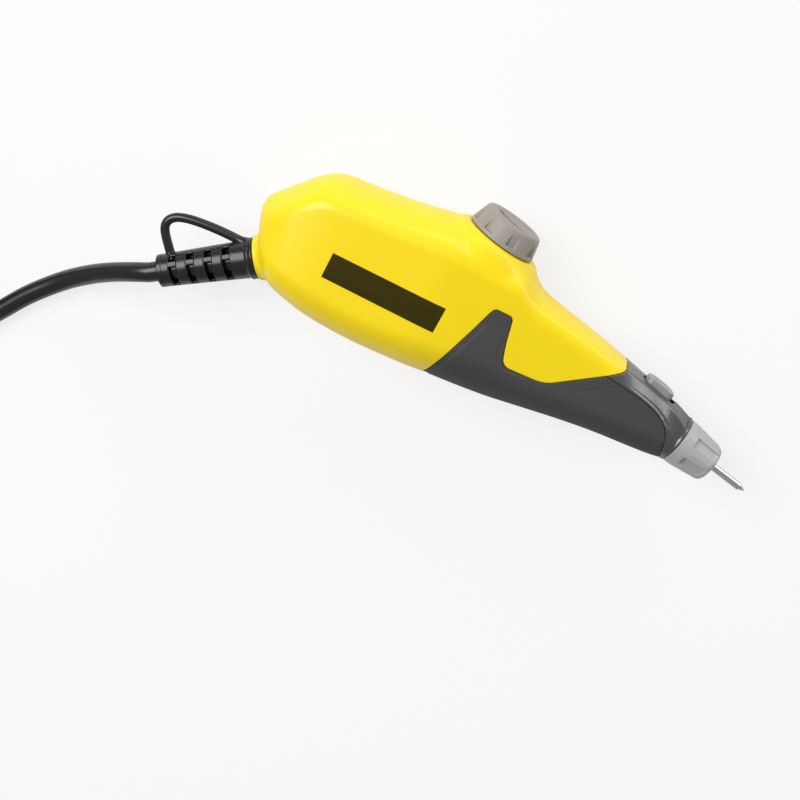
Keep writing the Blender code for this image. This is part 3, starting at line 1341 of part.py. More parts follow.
def tie_share(angle):
    """How far a loop rides up over the strap at an angle of the coil, from 0 to 1."""
    off = abs((math.degrees(angle) - TIE_ANGLE_DEG + 180.0) % 360.0 - 180.0)
    flat, reach = TIE_REACH_DEG
    share = min(max((reach - off) / (reach - flat), 0.0), 1.0)
    return share * share * (3 - 2 * share)


def least_gap(points, radius, skip):
    """The least gap of a tube to itself, between points more than skip apart."""
    places = np.array([tuple(point) for point in points])
    best = None
    for i in range(len(places) - skip):
        a = places[i + skip:-1]
        b = places[i + skip + 1:]
        if len(a) == 0:
            continue
        span = b - a
        t = np.clip(((places[i] - a) * span).sum(axis=1) / (span * span).sum(axis=1), 0.0, 1.0)
        near = float(np.linalg.norm(a + span * t[:, None] - places[i], axis=1).min())
        best = near if best is None else min(best, near)
    return best - 2 * radius


def along_length(points):
    return sum((b - a).length for a, b in zip(points, points[1:]))


def cord_and_plug():
    jacket = material("cord_jacket", BLACK, 0.35)
    coil = coil_points()
    print("least gap of the coil to itself (mm):",
          round(least_gap(coil, CORD_RADIUS, COIL_TURN_POINTS // 2) / MM, 3))
    wire("cord_coil", coil, CORD_RADIUS, jacket, 1)
    exit_point = RELIEF_FRAME @ Vector((0.0, 0.0, RELIEF_LENGTH + GAP))
    straight = RELIEF_FRAME @ Vector((0.0, 0.0, RELIEF_LENGTH + GAP + CORD_RADIUS))
    into = (coil[0] - coil[1]).normalized()
    joint = coil[0] + into * GAP
    before = coil[0] + into * (GAP + 2 * CORD_RADIUS)
    route = [tuple(exit_point), tuple(straight)] + CORD_ROUTE + [tuple(before), tuple(joint)]
    free = smooth_route(route, 2.1 * CORD_RADIUS, True)
    wire("cord", free, CORD_RADIUS, jacket, 2)
    onward = (coil[-1] - coil[-2]).normalized()
    end = coil[-1] + onward * PLUG_LEAD
    end.z = PLUG_BODY[2] / 2 + GAP / 3
    straight_run = onward * 2 * CORD_RADIUS
    lead = [coil[-1] + onward * GAP, coil[-1] + onward * GAP + straight_run, end - straight_run, end]
    tail = smooth_route(lead, 2.1 * CORD_RADIUS, True)
    wire("plug_lead", tail, CORD_RADIUS, jacket, 2)
    total = along_length(coil) + along_length(free) + along_length(tail)
    print("cord length outside the housing (m):", round(total, 3))
    turn = Matrix.Rotation(math.atan2(-onward.x, onward.y), 4, "Z")
    plug(Matrix.Translation(end) @ turn)
    cord_tie(coil)


def plug(frame):
    """A flat two-pin plug, lying flat; local Y of its frame runs from the cord to the pins."""
    black = material("black_plastic", BLACK, 0.4)
    length, width, height = PLUG_BODY
    matrix = frame @ Matrix.Translation((0.0, GAP, 0.0))
    work = bmesh.new()
    rings = []
    for share, wide, high in PLUG_SECTION_SHARES:
        corner = min(wide * width, high * height) / 2 * 0.8
        outline = rectangle(wide * width, high * height, corner, 3)
        rings.append([work.verts.new((x, share * length, z)) for x, z in outline])
    for low, top in zip(rings, rings[1:]):
        for i in range(len(low)):
            j = (i + 1) % len(low)
            work.faces.new((low[i], low[j], top[j], top[i]))
    work.faces.new(rings[0])
    work.faces.new(rings[-1])
    finish_mesh("plug_body", work, black, matrix)
    chrome = material("plug_pin_metal", STEEL, 0.25, 1.0)
    for number, sign in ((1, -1), (2, 1)):
        place = frame @ Matrix.Translation((sign * PLUG_PIN_SPREAD / 2, 2 * GAP + length, 0.0))
        turn = Matrix.Rotation(math.radians(-90), 4, "X")
        radius = PLUG_PIN_RADIUS
        profile = [(0.0, 0.0), (radius, 0.0), (radius, PLUG_PIN_LENGTH - radius),
                   (radius * 0.7, PLUG_PIN_LENGTH - radius * 0.3), (0.0, PLUG_PIN_LENGTH)]
        turned(f"plug_pin_{number}", profile, 12, chrome, place @ turn)


def cord_tie(coil):
    """A flat strap round both layers of the coil."""
    width, thickness = TIE_SIZE
    angle = math.radians(TIE_ANGLE_DEG)
    radial = Vector((math.cos(angle), math.sin(angle), 0.0))
    centre = Vector((*COIL_CENTRE, 0.0))
    near = [point for point in coil if tie_share(math.atan2(*(point - centre).yx)) == 1.0]
    reaches = [(point - centre).to_2d().length for point in near]
    heights = [point.z for point in near]
    room = CORD_RADIUS + GAP
    bow = width ** 2 / 8 / min(reaches)
    inner, outer = min(reaches) - room - bow, max(reaches) + room
    low, high = min(heights) - room, max(heights) + room
    middle = centre + radial * (inner + outer) / 2 + Vector((0.0, 0.0, (low + high) / 2))
    up = Vector((0.0, 0.0, 1.0))
    turn = Matrix((radial, up, radial.cross(up))).transposed().to_4x4()
    hole = rectangle(outer - inner, high - low, CORD_RADIUS / 2)
    outline = rectangle(outer - inner + 2 * thickness, high - low + 2 * thickness, CORD_RADIUS / 2)
    black = material("black_plastic", BLACK, 0.4)
    loop_solid("cord_tie", hole, outline, -width / 2, width / 2, black,
               Matrix.Translation(middle) @ turn)


def build():
    for thing in list(bpy.data.objects):
        bpy.data.objects.remove(thing)
    shell_half("housing_right", 1)
    shell_half("housing_left", -1)
    grip_half("grip_right", 1)
    grip_half("grip_left", -1)
    nose_sleeve()
    for number, place in enumerate(SHELL_SCREWS + GRIP_SCREWS):
        housing_screw(f"housing_screw_{number + 1}", place)
    stroke_dial()
    dial_shaft()
    dial_cam()
    switch_button()
    switch_inside()
    union_nut()
    guide_bush()
    needle_and_holder()
    needle_spring()
    core_stack()
    coil_bobbin()
    coil_winding()
    armature_lever()
    armature_plate()
    pivot_pin()
    armature_spring()
    stop_pad()
    strain_relief()
    cord_inside()
    leads()
    cord_and_plug()


build()
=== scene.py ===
# Electric engraving pen: the looks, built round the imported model.
import math

import bmesh
import bpy
import numpy as np
from mathutils import Matrix, Vector
from mathutils.bvhtree import BVHTree


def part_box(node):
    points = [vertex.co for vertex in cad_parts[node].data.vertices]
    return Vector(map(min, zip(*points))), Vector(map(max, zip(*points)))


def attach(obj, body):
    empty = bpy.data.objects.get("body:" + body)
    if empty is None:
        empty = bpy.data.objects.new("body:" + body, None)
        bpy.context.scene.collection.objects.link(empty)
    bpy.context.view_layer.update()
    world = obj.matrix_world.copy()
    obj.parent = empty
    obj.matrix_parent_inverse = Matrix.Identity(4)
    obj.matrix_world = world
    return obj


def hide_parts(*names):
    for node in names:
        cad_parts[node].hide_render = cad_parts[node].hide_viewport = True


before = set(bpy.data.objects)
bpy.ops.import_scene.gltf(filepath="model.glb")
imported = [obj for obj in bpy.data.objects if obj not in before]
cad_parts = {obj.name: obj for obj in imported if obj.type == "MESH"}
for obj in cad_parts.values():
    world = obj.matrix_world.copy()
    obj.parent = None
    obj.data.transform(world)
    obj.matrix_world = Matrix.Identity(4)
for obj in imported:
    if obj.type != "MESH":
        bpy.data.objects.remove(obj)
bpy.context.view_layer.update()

MM = 0.001


def metres(*lengths):
    """Millimetres as metres."""
    return tuple(length * MM for length in lengths)


def rows_in_metres(*rows):
    return [metres(*row) for row in rows]


# Shared by several pieces. A name that ends in CUTS holds the distances from an edge at which the
# faces beside it are cut.
FAR = 0.3
FAR_OFF = 5 * MM
MERGE = 0.001 * MM
SHARP_DEG = 60.0
FOOT_EDGE = 0.25 * MM
KNOT_STEPS = 40

# Turned pieces: the spacing of points along their profile, and the steps round their axis
FINENESS = {
    "dial": (0.4 * MM, 256), "nut": (0.4 * MM, 240), "needle": (1.0 * MM, 48),
    "boot": (0.35 * MM, 168), "core": (1.0 * MM, 64), "screw": (0.25 * MM, 64),
}
LIP_STEPS = 180
COLLAR_STEPS = 120
WELL_STEPS = 48

# Housing
BODY_LENGTH = 146.0 * MM
BODY_HEIGHT = 46.0 * MM
BODY_WIDTH = 34.0 * MM
REAR_X = -36.0 * MM
MIDDLE = BODY_WIDTH / 2
GAP = 0.3 * MM
PAD_BLEND = 4.5 * MM
SKIN_THICKNESS = 1.6 * MM
SEAM_HALF_GAP = 0.06 * MM
SEAM_ROUND = 0.30 * MM
PARTING_HALF_GAP = 0.02 * MM
PARTING_ROUND = 0.16 * MM
TONGUE_HALF_WIDTH = 1.0 * MM
TONGUE_DEPTH = 0.8 * MM
TONGUE_THICKNESS = 0.3 * MM
WELL_ROUND = 0.3 * MM
SLOT_ROUND = 0.35 * MM

# Parts of the form: where each starts and ends along the sections, and in how many steps
SHELL_PART = (0.0, 0.86, 190)
GRIP_PART = (0.40, 1.0, 130)
NOSE_PART = (0.72, 1.0, 70)
TONGUE_PART = (0.38, 0.995, 150)
PLATE_PART = (0.14, 0.52, 90)

# Sections of the housing from the rear face forward. Each row gives, as shares of the sizes,
# back x, back y, belly x, belly y, half width, upper shoulder and lower shoulder.
SECTION_SHARES = [
    (0.0080, 0.094, 0.021, -0.090, 0.25, 0.30, -0.30),
    (0.0105, 0.130, 0.029, -0.160, 0.36, 0.30, -0.30),
    (0.0180, 0.164, 0.041, -0.240, 0.50, 0.30, -0.32),
    (0.040, 0.234, 0.061, -0.332, 0.71, 0.34, -0.36),
    (0.074, 0.343, 0.085, -0.398, 0.87, 0.42, -0.42),
    (0.106, 0.430, 0.117, -0.433, 0.945, 0.54, -0.45),
    (0.145, 0.472, 0.155, -0.465, 0.99, 0.61, -0.47),
    (0.205, 0.480, 0.212, -0.493, 1.00, 0.63, -0.48),
    (0.301, 0.507, 0.301, -0.509, 1.00, 0.60, -0.48),
    (0.397, 0.548, 0.397, -0.504, 1.00, 0.57, -0.46),
    (0.452, 0.537, 0.459, -0.493, 0.95, 0.56, -0.42),
    (0.507, 0.507, 0.514, -0.487, 0.89, 0.56, -0.38),
    (0.555, 0.478, 0.562, -0.478, 0.835, 0.60, -0.35),
    (0.579, 0.400, 0.592, -0.470, 0.80, 0.67, -0.33),
    (0.606, 0.326, 0.623, -0.457, 0.765, 0.74, -0.31),
    (0.658, 0.276, 0.671, -0.437, 0.72, 0.80, -0.30),
    (0.740, 0.215, 0.753, -0.404, 0.65, 0.80, -0.27),
    (0.822, 0.143, 0.836, -0.380, 0.59, 0.75, -0.24),
    (0.897, 0.082, 0.901, -0.372, 0.535, 0.55, -0.16),
    (0.952, 0.035, 0.945, -0.365, 0.485, 0.28, -0.08),
]
SHELL_SEAM_SHARES = [
    (0.390, -0.90, 0.0), (0.455, -0.435, 0.0), (0.507, -0.024, 0.0), (0.528, 0.158, 0.010),
    (0.570, 0.150, 0.009), (0.579, -0.020, 0.0), (0.591, -0.172, 0.018), (0.685, -0.172, 0.022),
    (0.825, 0.110, 0.011), (0.829, 0.175, 0.0), (0.824, 0.70, 0.0),
]
NOSE_SEAM_SHARES = [
    (0.770, 0.052), (0.804, 0.036), (0.839, 0.016), (0.875, -0.006), (0.905, -0.033),
    (0.923, -0.058), (0.940, -0.093), (0.952, -0.135), (0.960, -0.185), (0.964, -0.240),
    (0.969, -0.305), (0.975, -0.370), (0.982, -0.60),
]

# Needle line and what turns or slides on it
NOSE_CENTRE = metres(108.7, -8.9)
NOSE_DIAMETER = 15.0 * MM
NEEDLE_TILT_DEG = 12.8
NUT_RADIUS = 7.5 * MM
NUT_COLLAR = 3.2 * MM
NUT_LENGTH = 13.2 * MM
NUT_FRONT_RADIUS = 4.6 * MM
NUT_SHOULDER = metres(10.9, 6.4)
NUT_BOSS = metres(2.2, 0.9)
NUT_BORE = 4.9 * MM
NUT_POCKETS = 6
NUT_POCKET_TURN_DEG = 55.6
NUT_POCKET_WIDTH = 3.5 * MM
NUT_RIB_RISE = 0.14 * MM
NUT_POCKET_DEPTH = 0.85 * MM
NUT_POCKET_START = 3.9 * MM
NUT_POCKET_CORNER = 0.45 * MM
NUT_CUTS = metres(-0.3, -0.2, -0.1, 0.0, 0.1)
LIP_EDGE = 0.26 * MM
NEEDLE_RADIUS = 1.3 * MM
NEEDLE_SHANK_RADIUS = 1.0 * MM
HOLDER_FRONT = 11.6 * MM
NEEDLE_START = -0.1 * MM
NEEDLE_TIP = 26.6 * MM
NEEDLE_CONE = 2.3 * MM

# Stroke dial
DIAL_CENTRE = metres(34.4, 23.6)
DIAL_TILT_DEG = 12.0
DIAL_RADIUS = 11.0 * MM
DIAL_TOP_RADIUS = 9.6 * MM
DIAL_HEIGHT = 6.9 * MM
DIAL_BORE = 3.1 * MM
DIAL_FLANGE = 1.0 * MM
DIAL_EDGE = 1.3 * MM
DIAL_DISH = 1.0 * MM
DIAL_POCKETS = 8
DIAL_POCKET_TURN_DEG = 15.0
DIAL_POCKET_DEPTH = 0.95 * MM
DIAL_POCKET_SPAN = metres(0.25, 4.4)
DIAL_POCKET_HALVES = metres(1.75, 1.2)
DIAL_POCKET_CORNER = 0.2 * MM
DIAL_CUTS = metres(-0.35, -0.2, -0.05, 0.08, 0.2)
DIAL_SLOT = metres(12.0, 2.4, 1.3)
DIAL_SLOT_TURN_DEG = 62.0

# Slide switch
SWITCH_CENTRE = metres(96.4, 3.4)
SWITCH_TILT_DEG = 14.5
BUTTON_SIZE = metres(10.0, 6.2)
BUTTON_CORNER = 2.2 * MM
BUTTON_RISE = 1.6 * MM
BUTTON_ROOT = 2.4 * MM
BUTTON_SHIFT = 0.2 * MM
BUTTON_EDGE = 0.45 * MM
BUTTON_CROWN = 0.35 * MM
BUTTON_HOLLOW = 0.16 * MM
SWITCH_TRAVEL = 1.2 * MM
SLOT_REAR_ROOM = 0.5 * MM

# Screws in the left side
SCREW_PLACES = rows_in_metres((-24.2, 7.0), (1.0, -16.8), (23.6, 14.6), (61.6, 7.8))
GRIP_SCREW_PLACE = metres(70.5, -13.0)
SCREW_WELL = 2.5 * MM
WELL_THICKNESS = 0.5 * MM
SCREW_SEAT = 1.62 * MM
SCREW_HEAD = metres(2.15, 1.6)
# Half length, half width and depth of the cross in a screw's head
SCREW_CROSS = metres(1.25, 0.3, 0.75)

# Strain relief
RELIEF_CENTRE = metres(-30.6, -13.0)
RELIEF_ANGLE_DEG = 212.9
RELIEF_SOCKET = 6.9 * MM
RELIEF_TIP_RADIUS = 5.0 * MM
RELIEF_LENGTH = 31.4 * MM
RELIEF_NECK = 4.5 * MM
RELIEF_ANCHOR = metres(6.0, 1.8)
SOCKET_DEPTH = 5.0 * MM
BOOT_WALL = 1.9 * MM
# Radius and height of the boot's two beads and what joins them
BOOT_FOOT = rows_in_metres(
    (4.7, 0.05), (6.15, 0.05), (6.42, 0.3), (6.42, 0.8), (6.25, 1.0), (6.12, 1.12), (6.25, 1.3),
    (6.42, 1.5), (6.42, 1.95), (6.2, 2.25), (5.98, 2.6), (5.9, 3.3),
)
COLLAR_FILLET = 2.6 * MM
COLLAR_THICKNESS = 0.8 * MM
# Along the boot's axis: where a search for the housing starts, its length, and the height taken
# where it finds nothing
SEARCH_START, SEARCH_LENGTH, NOT_FOUND = metres(4.0, 14.0, -9.0)
SLOT_COUNT = 4
SLOT_FIRST = 8.6 * MM
SLOT_PITCH = 5.75 * MM
SLOT_WIDTH = 2.2 * MM
SLOT_CORE = 3.4 * MM
SLOT_HALF_ANGLE_DEG = 62.0
SLOT_EDGE = 0.5 * MM
SLOT_CUTS = metres(0.0, 0.06, 0.15, 0.3, 0.5)
WEB_TURN_DEG = 26
WEB_SIZE = metres(2.2, 1.3)
WEB_RADIUS = 4.2 * MM
LOOP_STRAND = 1.45 * MM
LOOP_SWELL = 0.45
LOOP_SWELL_SHARE = 0.07
LOOP_POINTS = rows_in_metres(
    (26.8, 3.4), (27.1, 7.0), (27.3, 11.0), (26.9, 13.5), (25.5, 15.1), (22.9, 15.6), (19.4, 14.7),
    (15.0, 12.6), (10.0, 9.7), (5.8, 6.9), (3.2, 4.9),
)

# Cord, coil and plug
CORD_RADIUS = 3.15 * MM
CORD_ROUTE = rows_in_metres(
    (-64.5, -34.3, 15.6), (-72.2, -38.9, 11.6), (-80.0, -44.5, 7.2), (-88.2, -51.5, 4.1),
    (-97.2, -60.9, 3.25), (-105.2, -71.4, 3.25), (-113.2, -81.0, 3.25), (-122.2, -90.3, 3.25),
)
COIL_CENTRE = metres(-169.5, -64.0)
COIL_OUTER = 50.8 * MM
COIL_PITCH = 6.85 * MM
COIL_LAYER = 6.85 * MM
COIL_TURNS = 7.388
COIL_START_DEG = -52.3
COIL_TURN_POINTS = 48
TIE_LIFT = 1.2 * MM
TIE_ANGLE_DEG = 75.0
TIE_REACH_DEG = (14.0, 32.0)
PLUG_BODY = metres(34.0, 35.3, 13.7)
PLUG_LEAD = 30.0 * MM
PLUG_SHARP_DEG = 42.0

# Camera, worked out from the axes of the pen in the photograph
SENSOR_WIDTH = 36.0
FOCAL_LENGTH = 62.37
NEAR_CLIP = 0.01
CAMERA_PLACE = (0.02728, 0.09800, 0.42677)
CAMERA_AXES = ((0.906308, 0.401934, -0.130597), (-0.422618, 0.861950, -0.280064),
               (0.0, 0.309017, 0.951057))


# Frames

def on_axis(height):
    """A point on the Z axis."""
    return Vector((0.0, 0.0, height))


def line_frame(centre, angle_deg):
    """A frame on the midplane whose local Z runs along a line at angle_deg from +X."""
    angle = math.radians(angle_deg)
    axis = Vector((math.cos(angle), math.sin(angle), 0.0))
    side = on_axis(1.0).cross(axis)
    turn = Matrix((side, on_axis(1.0), axis)).transposed().to_4x4()
    return Matrix.Translation((*centre, MIDDLE)) @ turn


NEEDLE_FRAME = line_frame(NOSE_CENTRE, -NEEDLE_TILT_DEG)
DIAL_FRAME = line_frame(DIAL_CENTRE, 90.0 - DIAL_TILT_DEG)
RELIEF_FRAME = line_frame(RELIEF_CENTRE, RELIEF_ANGLE_DEG)
SWITCH_FRAME = line_frame(SWITCH_CENTRE, 90.0 - SWITCH_TILT_DEG)


def along_nose(length):
    """The switch's frame, moved along the nose."""
    return SWITCH_FRAME @ Matrix.Translation((-length, 0.0, 0.0))


# Finishes

class Value:
    """One socket of a finish's nodes, which can be added and multiplied."""

    def __init__(self, finish, socket):
        self.finish = finish
        self.socket = socket

    def math(self, operation, first, second):
        return self.finish.node("ShaderNodeMath", {"operation": operation}, {0: first, 1: second})

    def __add__(self, other):
        return self.math("ADD", self, other)

    def __radd__(self, other):
        return self.math("ADD", other, self)

    def __mul__(self, other):
        return self.math("MULTIPLY", self, other)


class Finish:
    """A procedural material whose nodes, but for the shader itself, all come from node()."""

    def __init__(self, name):
        self.material = bpy.data.materials.new(name)
        self.material.use_nodes = True
        self.tree = self.material.node_tree
        self.shader = self.tree.nodes["Principled BSDF"]

    def node(self, kind, settings=None, values=None, output=0):
        made = self.tree.nodes.new(kind)
        for key, setting in (settings or {}).items():
            setattr(made, key, setting)
        self.feed(made, values or {})
        return Value(self, made.outputs[output])

    def feed(self, made, values):
        for key, value in values.items():
            socket = made.inputs[key]
            if isinstance(value, Value):
                self.tree.links.new(value.socket, socket)
            else:
                socket.default_value = value

    def place(self, stretch=(1.0, 1.0, 1.0)):
        """Where a point lies on its piece, in metres."""
        here = self.node("ShaderNodeTexCoord", output="Object")
        if stretch == (1.0, 1.0, 1.0):
            return here
        return self.node("ShaderNodeMapping", {}, {"Vector": here, "Scale": stretch})

    def noise(self, here, scale, detail=2.0, roughness=0.5):
        return self.node("ShaderNodeTexNoise", {}, {"Vector": here, "Scale": scale,
                                                    "Detail": detail, "Roughness": roughness})

    def tint(self, share, low, high):
        """A colour between low and high."""
        return self.node("ShaderNodeMix", {"data_type": "RGBA"},
                         {0: share, 6: (*low, 1.0), 7: (*high, 1.0)}, 2)

    def relief(self, height, depth, under=None):
        """A bump of a depth in metres."""
        values = {"Height": height, "Distance": depth, "Strength": 1.0}
        if under:
            values["Normal"] = under
        return self.node("ShaderNodeBump", {}, values)

    def dress(self, **values):
        self.feed(self.shader, {key.replace("_", " "): value for key, value in values.items()})
        return self.material


def shade(colour, share):
    return tuple(min(channel * share, 1.0) for channel in colour)


def moulded(name, colour, roughness, grain=(2400.0, 0.012 * MM), spread=0.05, gloss_level=0.5):
    """Moulded plastic: a spark-eroded grain, faint flow clouds and uneven gloss."""
    finish = Finish(name)
    here = finish.place()
    cloud = finish.noise(here, 45.0, 3.0)
    fine = finish.noise(here, grain[0], 2.0, 0.6)
    gloss = finish.noise(here, 320.0, 2.0)
    base = finish.tint(cloud * 0.7 + fine * 0.3, shade(colour, 1 - spread), shade(colour, 1 + spread))
    rough = roughness - 0.05 + gloss * 0.06 + fine * 0.04
    return finish.dress(Base_Color=base, Roughness=rough,
                        Specular_IOR_Level=gloss_level, Normal=finish.relief(fine, grain[1]))


def soft_touch(name, colour):
    """Soft moulded rubber with a fine pebbled grain."""
    finish = Finish(name)
    here = finish.place()
    pebbles = finish.node("ShaderNodeTexVoronoi", {"feature": "SMOOTH_F1"},
                          {"Vector": here, "Scale": 1500.0, "Smoothness": 0.6})
    cloud = finish.noise(here, 60.0, 3.0)
    dust = finish.noise(here, 900.0, 4.0, 0.7)
    base = finish.tint(cloud * 0.6 + dust * 0.4, shade(colour, 0.86), shade(colour, 1.16))
    fine = finish.relief(dust, 0.01 * MM)
    return finish.dress(Base_Color=base, Roughness=0.62 + dust * 0.16, Specular_IOR_Level=0.4,
                        Normal=finish.relief(pebbles, 0.03 * MM, fine))


def rubber(name, colour, roughness, fine_scale=1800.0):
    """Black flexible plastic: waxy, with faint scuffs."""
    finish = Finish(name)
    here = finish.place()
    cloud = finish.noise(here, 130.0, 3.0)
    fine = finish.noise(here, fine_scale, 3.0, 0.6)
    scuff = finish.noise(finish.place((1.0, 1.0, 5.0)), 500.0, 4.0, 0.7)
    base = finish.tint(cloud * 0.5 + scuff * 0.5, shade(colour, 0.8), shade(colour, 1.5))
    return finish.dress(Base_Color=base, Roughness=roughness + scuff * 0.12,
                        Normal=finish.relief(fine, 0.012 * MM))


def metal(name, colour, roughness, stretch=(1.0, 1.0, 40.0), scale=900.0, depth=0.004 * MM):
    """Worked metal with fine lines across its stretched axis."""
    finish = Finish(name)
    lines = finish.noise(finish.place(stretch), scale, 3.0, 0.6)
    cloud = finish.noise(finish.place(), 200.0, 3.0)
    base = finish.tint(cloud, shade(colour, 0.9), shade(colour, 1.08))
    return finish.dress(Base_Color=base, Metallic=1.0, Roughness=roughness + lines * 0.12,
                        Normal=finish.relief(lines, depth))


def plain(name, colour, roughness):
    finish = Finish(name)
    cloud = finish.noise(finish.place(), 300.0, 3.0)
    fine = finish.noise(finish.place(), 2500.0, 2.0)
    base = finish.tint(cloud, shade(colour, 0.88), shade(colour, 1.1))
    return finish.dress(Base_Color=base, Roughness=roughness + fine * 0.08,
                        Normal=finish.relief(fine, 0.01 * MM))


FINISHES = {
    "yellow_plastic": moulded("yellow_moulding", (0.985, 0.725, 0.002), 0.36),
    "soft_grip": soft_touch("soft_grip_rubber", (0.056, 0.056, 0.058)),
    "hard_grey_plastic": moulded("dark_nose_moulding", (0.060, 0.060, 0.062), 0.24,
                                 (3200.0, 0.012 * MM), 0.10, 1.0),
    "dial_grey_plastic": moulded("warm_grey_moulding", (0.318, 0.289, 0.262), 0.44,
                                 (2600.0, 0.02 * MM), 0.07),
    "button_grey_plastic": moulded("button_moulding", (0.285, 0.285, 0.284), 0.28,
                                   (2600.0, 0.012 * MM), 0.06),
    "nut_grey_plastic": moulded("nut_moulding", (0.430, 0.430, 0.424), 0.38,
                                (2800.0, 0.02 * MM), 0.06),
    "nylon": plain("natural_nylon", (0.70, 0.68, 0.62), 0.45),
    "black_plastic": moulded("black_moulding", (0.022, 0.022, 0.023), 0.34, (2200.0, 0.02 * MM), 0.2),
    "brown_insulation": plain("brown_insulation_skin", (0.22, 0.09, 0.03), 0.4),
    "blue_insulation": plain("blue_insulation_skin", (0.03, 0.16, 0.55), 0.4),
    "black_rubber": rubber("boot_rubber", (0.011, 0.011, 0.012), 0.20),
    "cord_jacket": rubber("cord_jacket_skin", (0.011, 0.011, 0.012), 0.18, 900.0),
    "needle_steel": metal("polished_needle_steel", (0.80, 0.80, 0.80), 0.10, (1.0, 1.0, 1.0), 4000.0),
    "turned_steel": metal("turned_steel_face", (0.62, 0.62, 0.63), 0.24),
    "spring_steel": metal("spring_wire", (0.58, 0.58, 0.59), 0.28),
    "screw_steel": metal("zinc_plate", (0.60, 0.60, 0.62), 0.30, (1.0, 1.0, 1.0), 1800.0),
    "lever_steel": metal("stamped_steel", (0.42, 0.43, 0.45), 0.38, (1.0, 20.0, 1.0)),
    "laminated_iron": metal("core_sheets", (0.30, 0.31, 0.33), 0.42, (1.0, 1.0, 60.0), 60.0,
                            0.05 * MM),
    "brass": metal("turned_brass", (0.80, 0.60, 0.28), 0.28),
    "copper_wire": metal("enamelled_winding", (0.72, 0.30, 0.12), 0.26, (1.0, 14.0, 1.0), 220.0,
                         0.08 * MM),
    "plug_pin_metal": metal("nickel_plate", (0.74, 0.73, 0.72), 0.16, (1.0, 1.0, 1.0), 1500.0),
    "side_plate": moulded("bare_dark_plate", (0.040, 0.030, 0.001), 0.34, (1500.0, 0.004 * MM), 0.06,
                          0.15),
}


def add_piece(name, data, finish, body, stands_for=(), matrix=None):
    """Put a finished piece in the scene; it rides on a body and may stand for CAD nodes."""
    thing = bpy.data.objects.new(name, data)
    bpy.context.scene.collection.objects.link(thing)
    data.materials.append(FINISHES[finish])
    if matrix is not None:
        thing.matrix_world = matrix
    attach(thing, body)
    if stands_for:
        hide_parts(*stands_for)
    return thing


def to_mesh(name, work, sharp_deg):
    mesh = bpy.data.meshes.new(name)
    work.normal_update()
    work.to_mesh(mesh)
    work.free()
    mesh.shade_smooth()
    mesh.set_sharp_from_angle(angle=math.radians(sharp_deg))
    return mesh


def add_mesh(name, work, sharp_deg, finish, body="pen", stands_for=(), matrix=None):
    return add_piece(name, to_mesh(name, work, sharp_deg), finish, body, stands_for, matrix)


def absorb(work, part):
    """Add one mesh in the making to another, and free it."""
    scratch = bpy.data.meshes.new("scratch")
    part.to_mesh(scratch)
    part.free()
    work.from_mesh(scratch)
    bpy.data.meshes.remove(scratch)


def grid(rings, closed=False):
    """A mesh of quads through rings of points; closed joins each ring's ends."""
    work = bmesh.new()
    rows = [[work.verts.new(point) for point in ring] for ring in rings]
    size = len(rows[0])
    for low, high in zip(rows, rows[1:]):
        for j in range(size if closed else size - 1):
            k = (j + 1) % size
            work.faces.new((low[j], low[k], high[k], high[j]))
    bmesh.ops.remove_doubles(work, verts=work.verts, dist=MERGE)
    return work


def face_outward(work, centre_of):
    """Turn the whole mesh so that its faces look away from the centres, judged by every seventh."""
    work.normal_update()
    total = 0.0
    for face in list(work.faces)[::7]:
        middle = face.calc_center_median()
        total += face.normal.dot(middle - centre_of(middle)) * face.calc_area()
    if total < 0:
        bmesh.ops.reverse_faces(work, faces=work.faces)
    work.normal_update()


def places(work):
    return np.array([vert.co[:] for vert in work.verts])


def cut_faces(start, on_line):
    """Cut a face between the points where a line crosses it."""
    queue = [start]
    while queue:
        face = queue.pop()
        corners = list(face.verts)
        marks = [i for i, vert in enumerate(corners) if vert in on_line]
        for a, b in zip(marks, marks[1:] + marks[:1]):
            step = (b - a) % len(corners)
            if 1 < step < len(corners) - 1:
                fresh = bmesh.utils.face_split(face, corners[a], corners[b])[0]
                queue += [face, fresh]
                break


def split_at(work, field, level, snap=0.01 * MM):
    """Cut the faces along one level line of a field of the points."""
    work.verts.index_update()
    values = field(places(work)) - level
    values[np.abs(values) < snap] = 0.0
    work.verts.ensure_lookup_table()
    on_line = {work.verts[i] for i in np.flatnonzero(values == 0.0)}
    for edge in list(work.edges):
        a, b = edge.verts
        first, second = values[a.index], values[b.index]
        if first * second < 0:
            on_line.add(bmesh.utils.edge_split(edge, a, first / (first - second))[1])
    for face in list(work.faces):
        if sum(vert in on_line for vert in face.verts) > 1:
            cut_faces(face, on_line)


def keep_above(work, field):
    """Drop the faces where a field is below 0."""
    work.verts.index_update()
    values = field(places(work))
    away = [face for face in work.faces if sum(values[vert.index] for vert in face.verts) < 0]
    bmesh.ops.delete(work, geom=away, context="FACES")


def trim(work, field, levels):
    """Cut along level lines of a field, and drop what is below level 0 once that one is cut."""
    for level in levels:
        split_at(work, field, level)
        if level == 0.0:
            keep_above(work, field)


def sink(work, depth_at):
    """Move each point inwards along its normal by a depth that depends on its place."""
    work.normal_update()
    for vert, depth in zip(work.verts, depth_at(places(work))):
        vert.co -= vert.normal * depth


def rounding(distance, radius):
    """How far a rounded edge lies under its surface, at a distance from the edge."""
    near = np.clip(radius - distance, 0.0, radius)
    return radius - np.sqrt(radius * radius - near * near)


def eased(t):
    """A share from 0 to 1 with a soft start and a soft end."""
    return t * t * (3 - 2 * t)


def step_up(distance, half_width):
    """A soft step from 0 to 1 across a line."""
    return eased(np.clip(distance / half_width / 2 + 0.5, 0.0, 1.0))


def thicken(thing, thickness):
    made = thing.modifiers.new("wall", "SOLIDIFY")
    made.thickness = thickness
    made.offset = -1.0
    made.use_rim = True


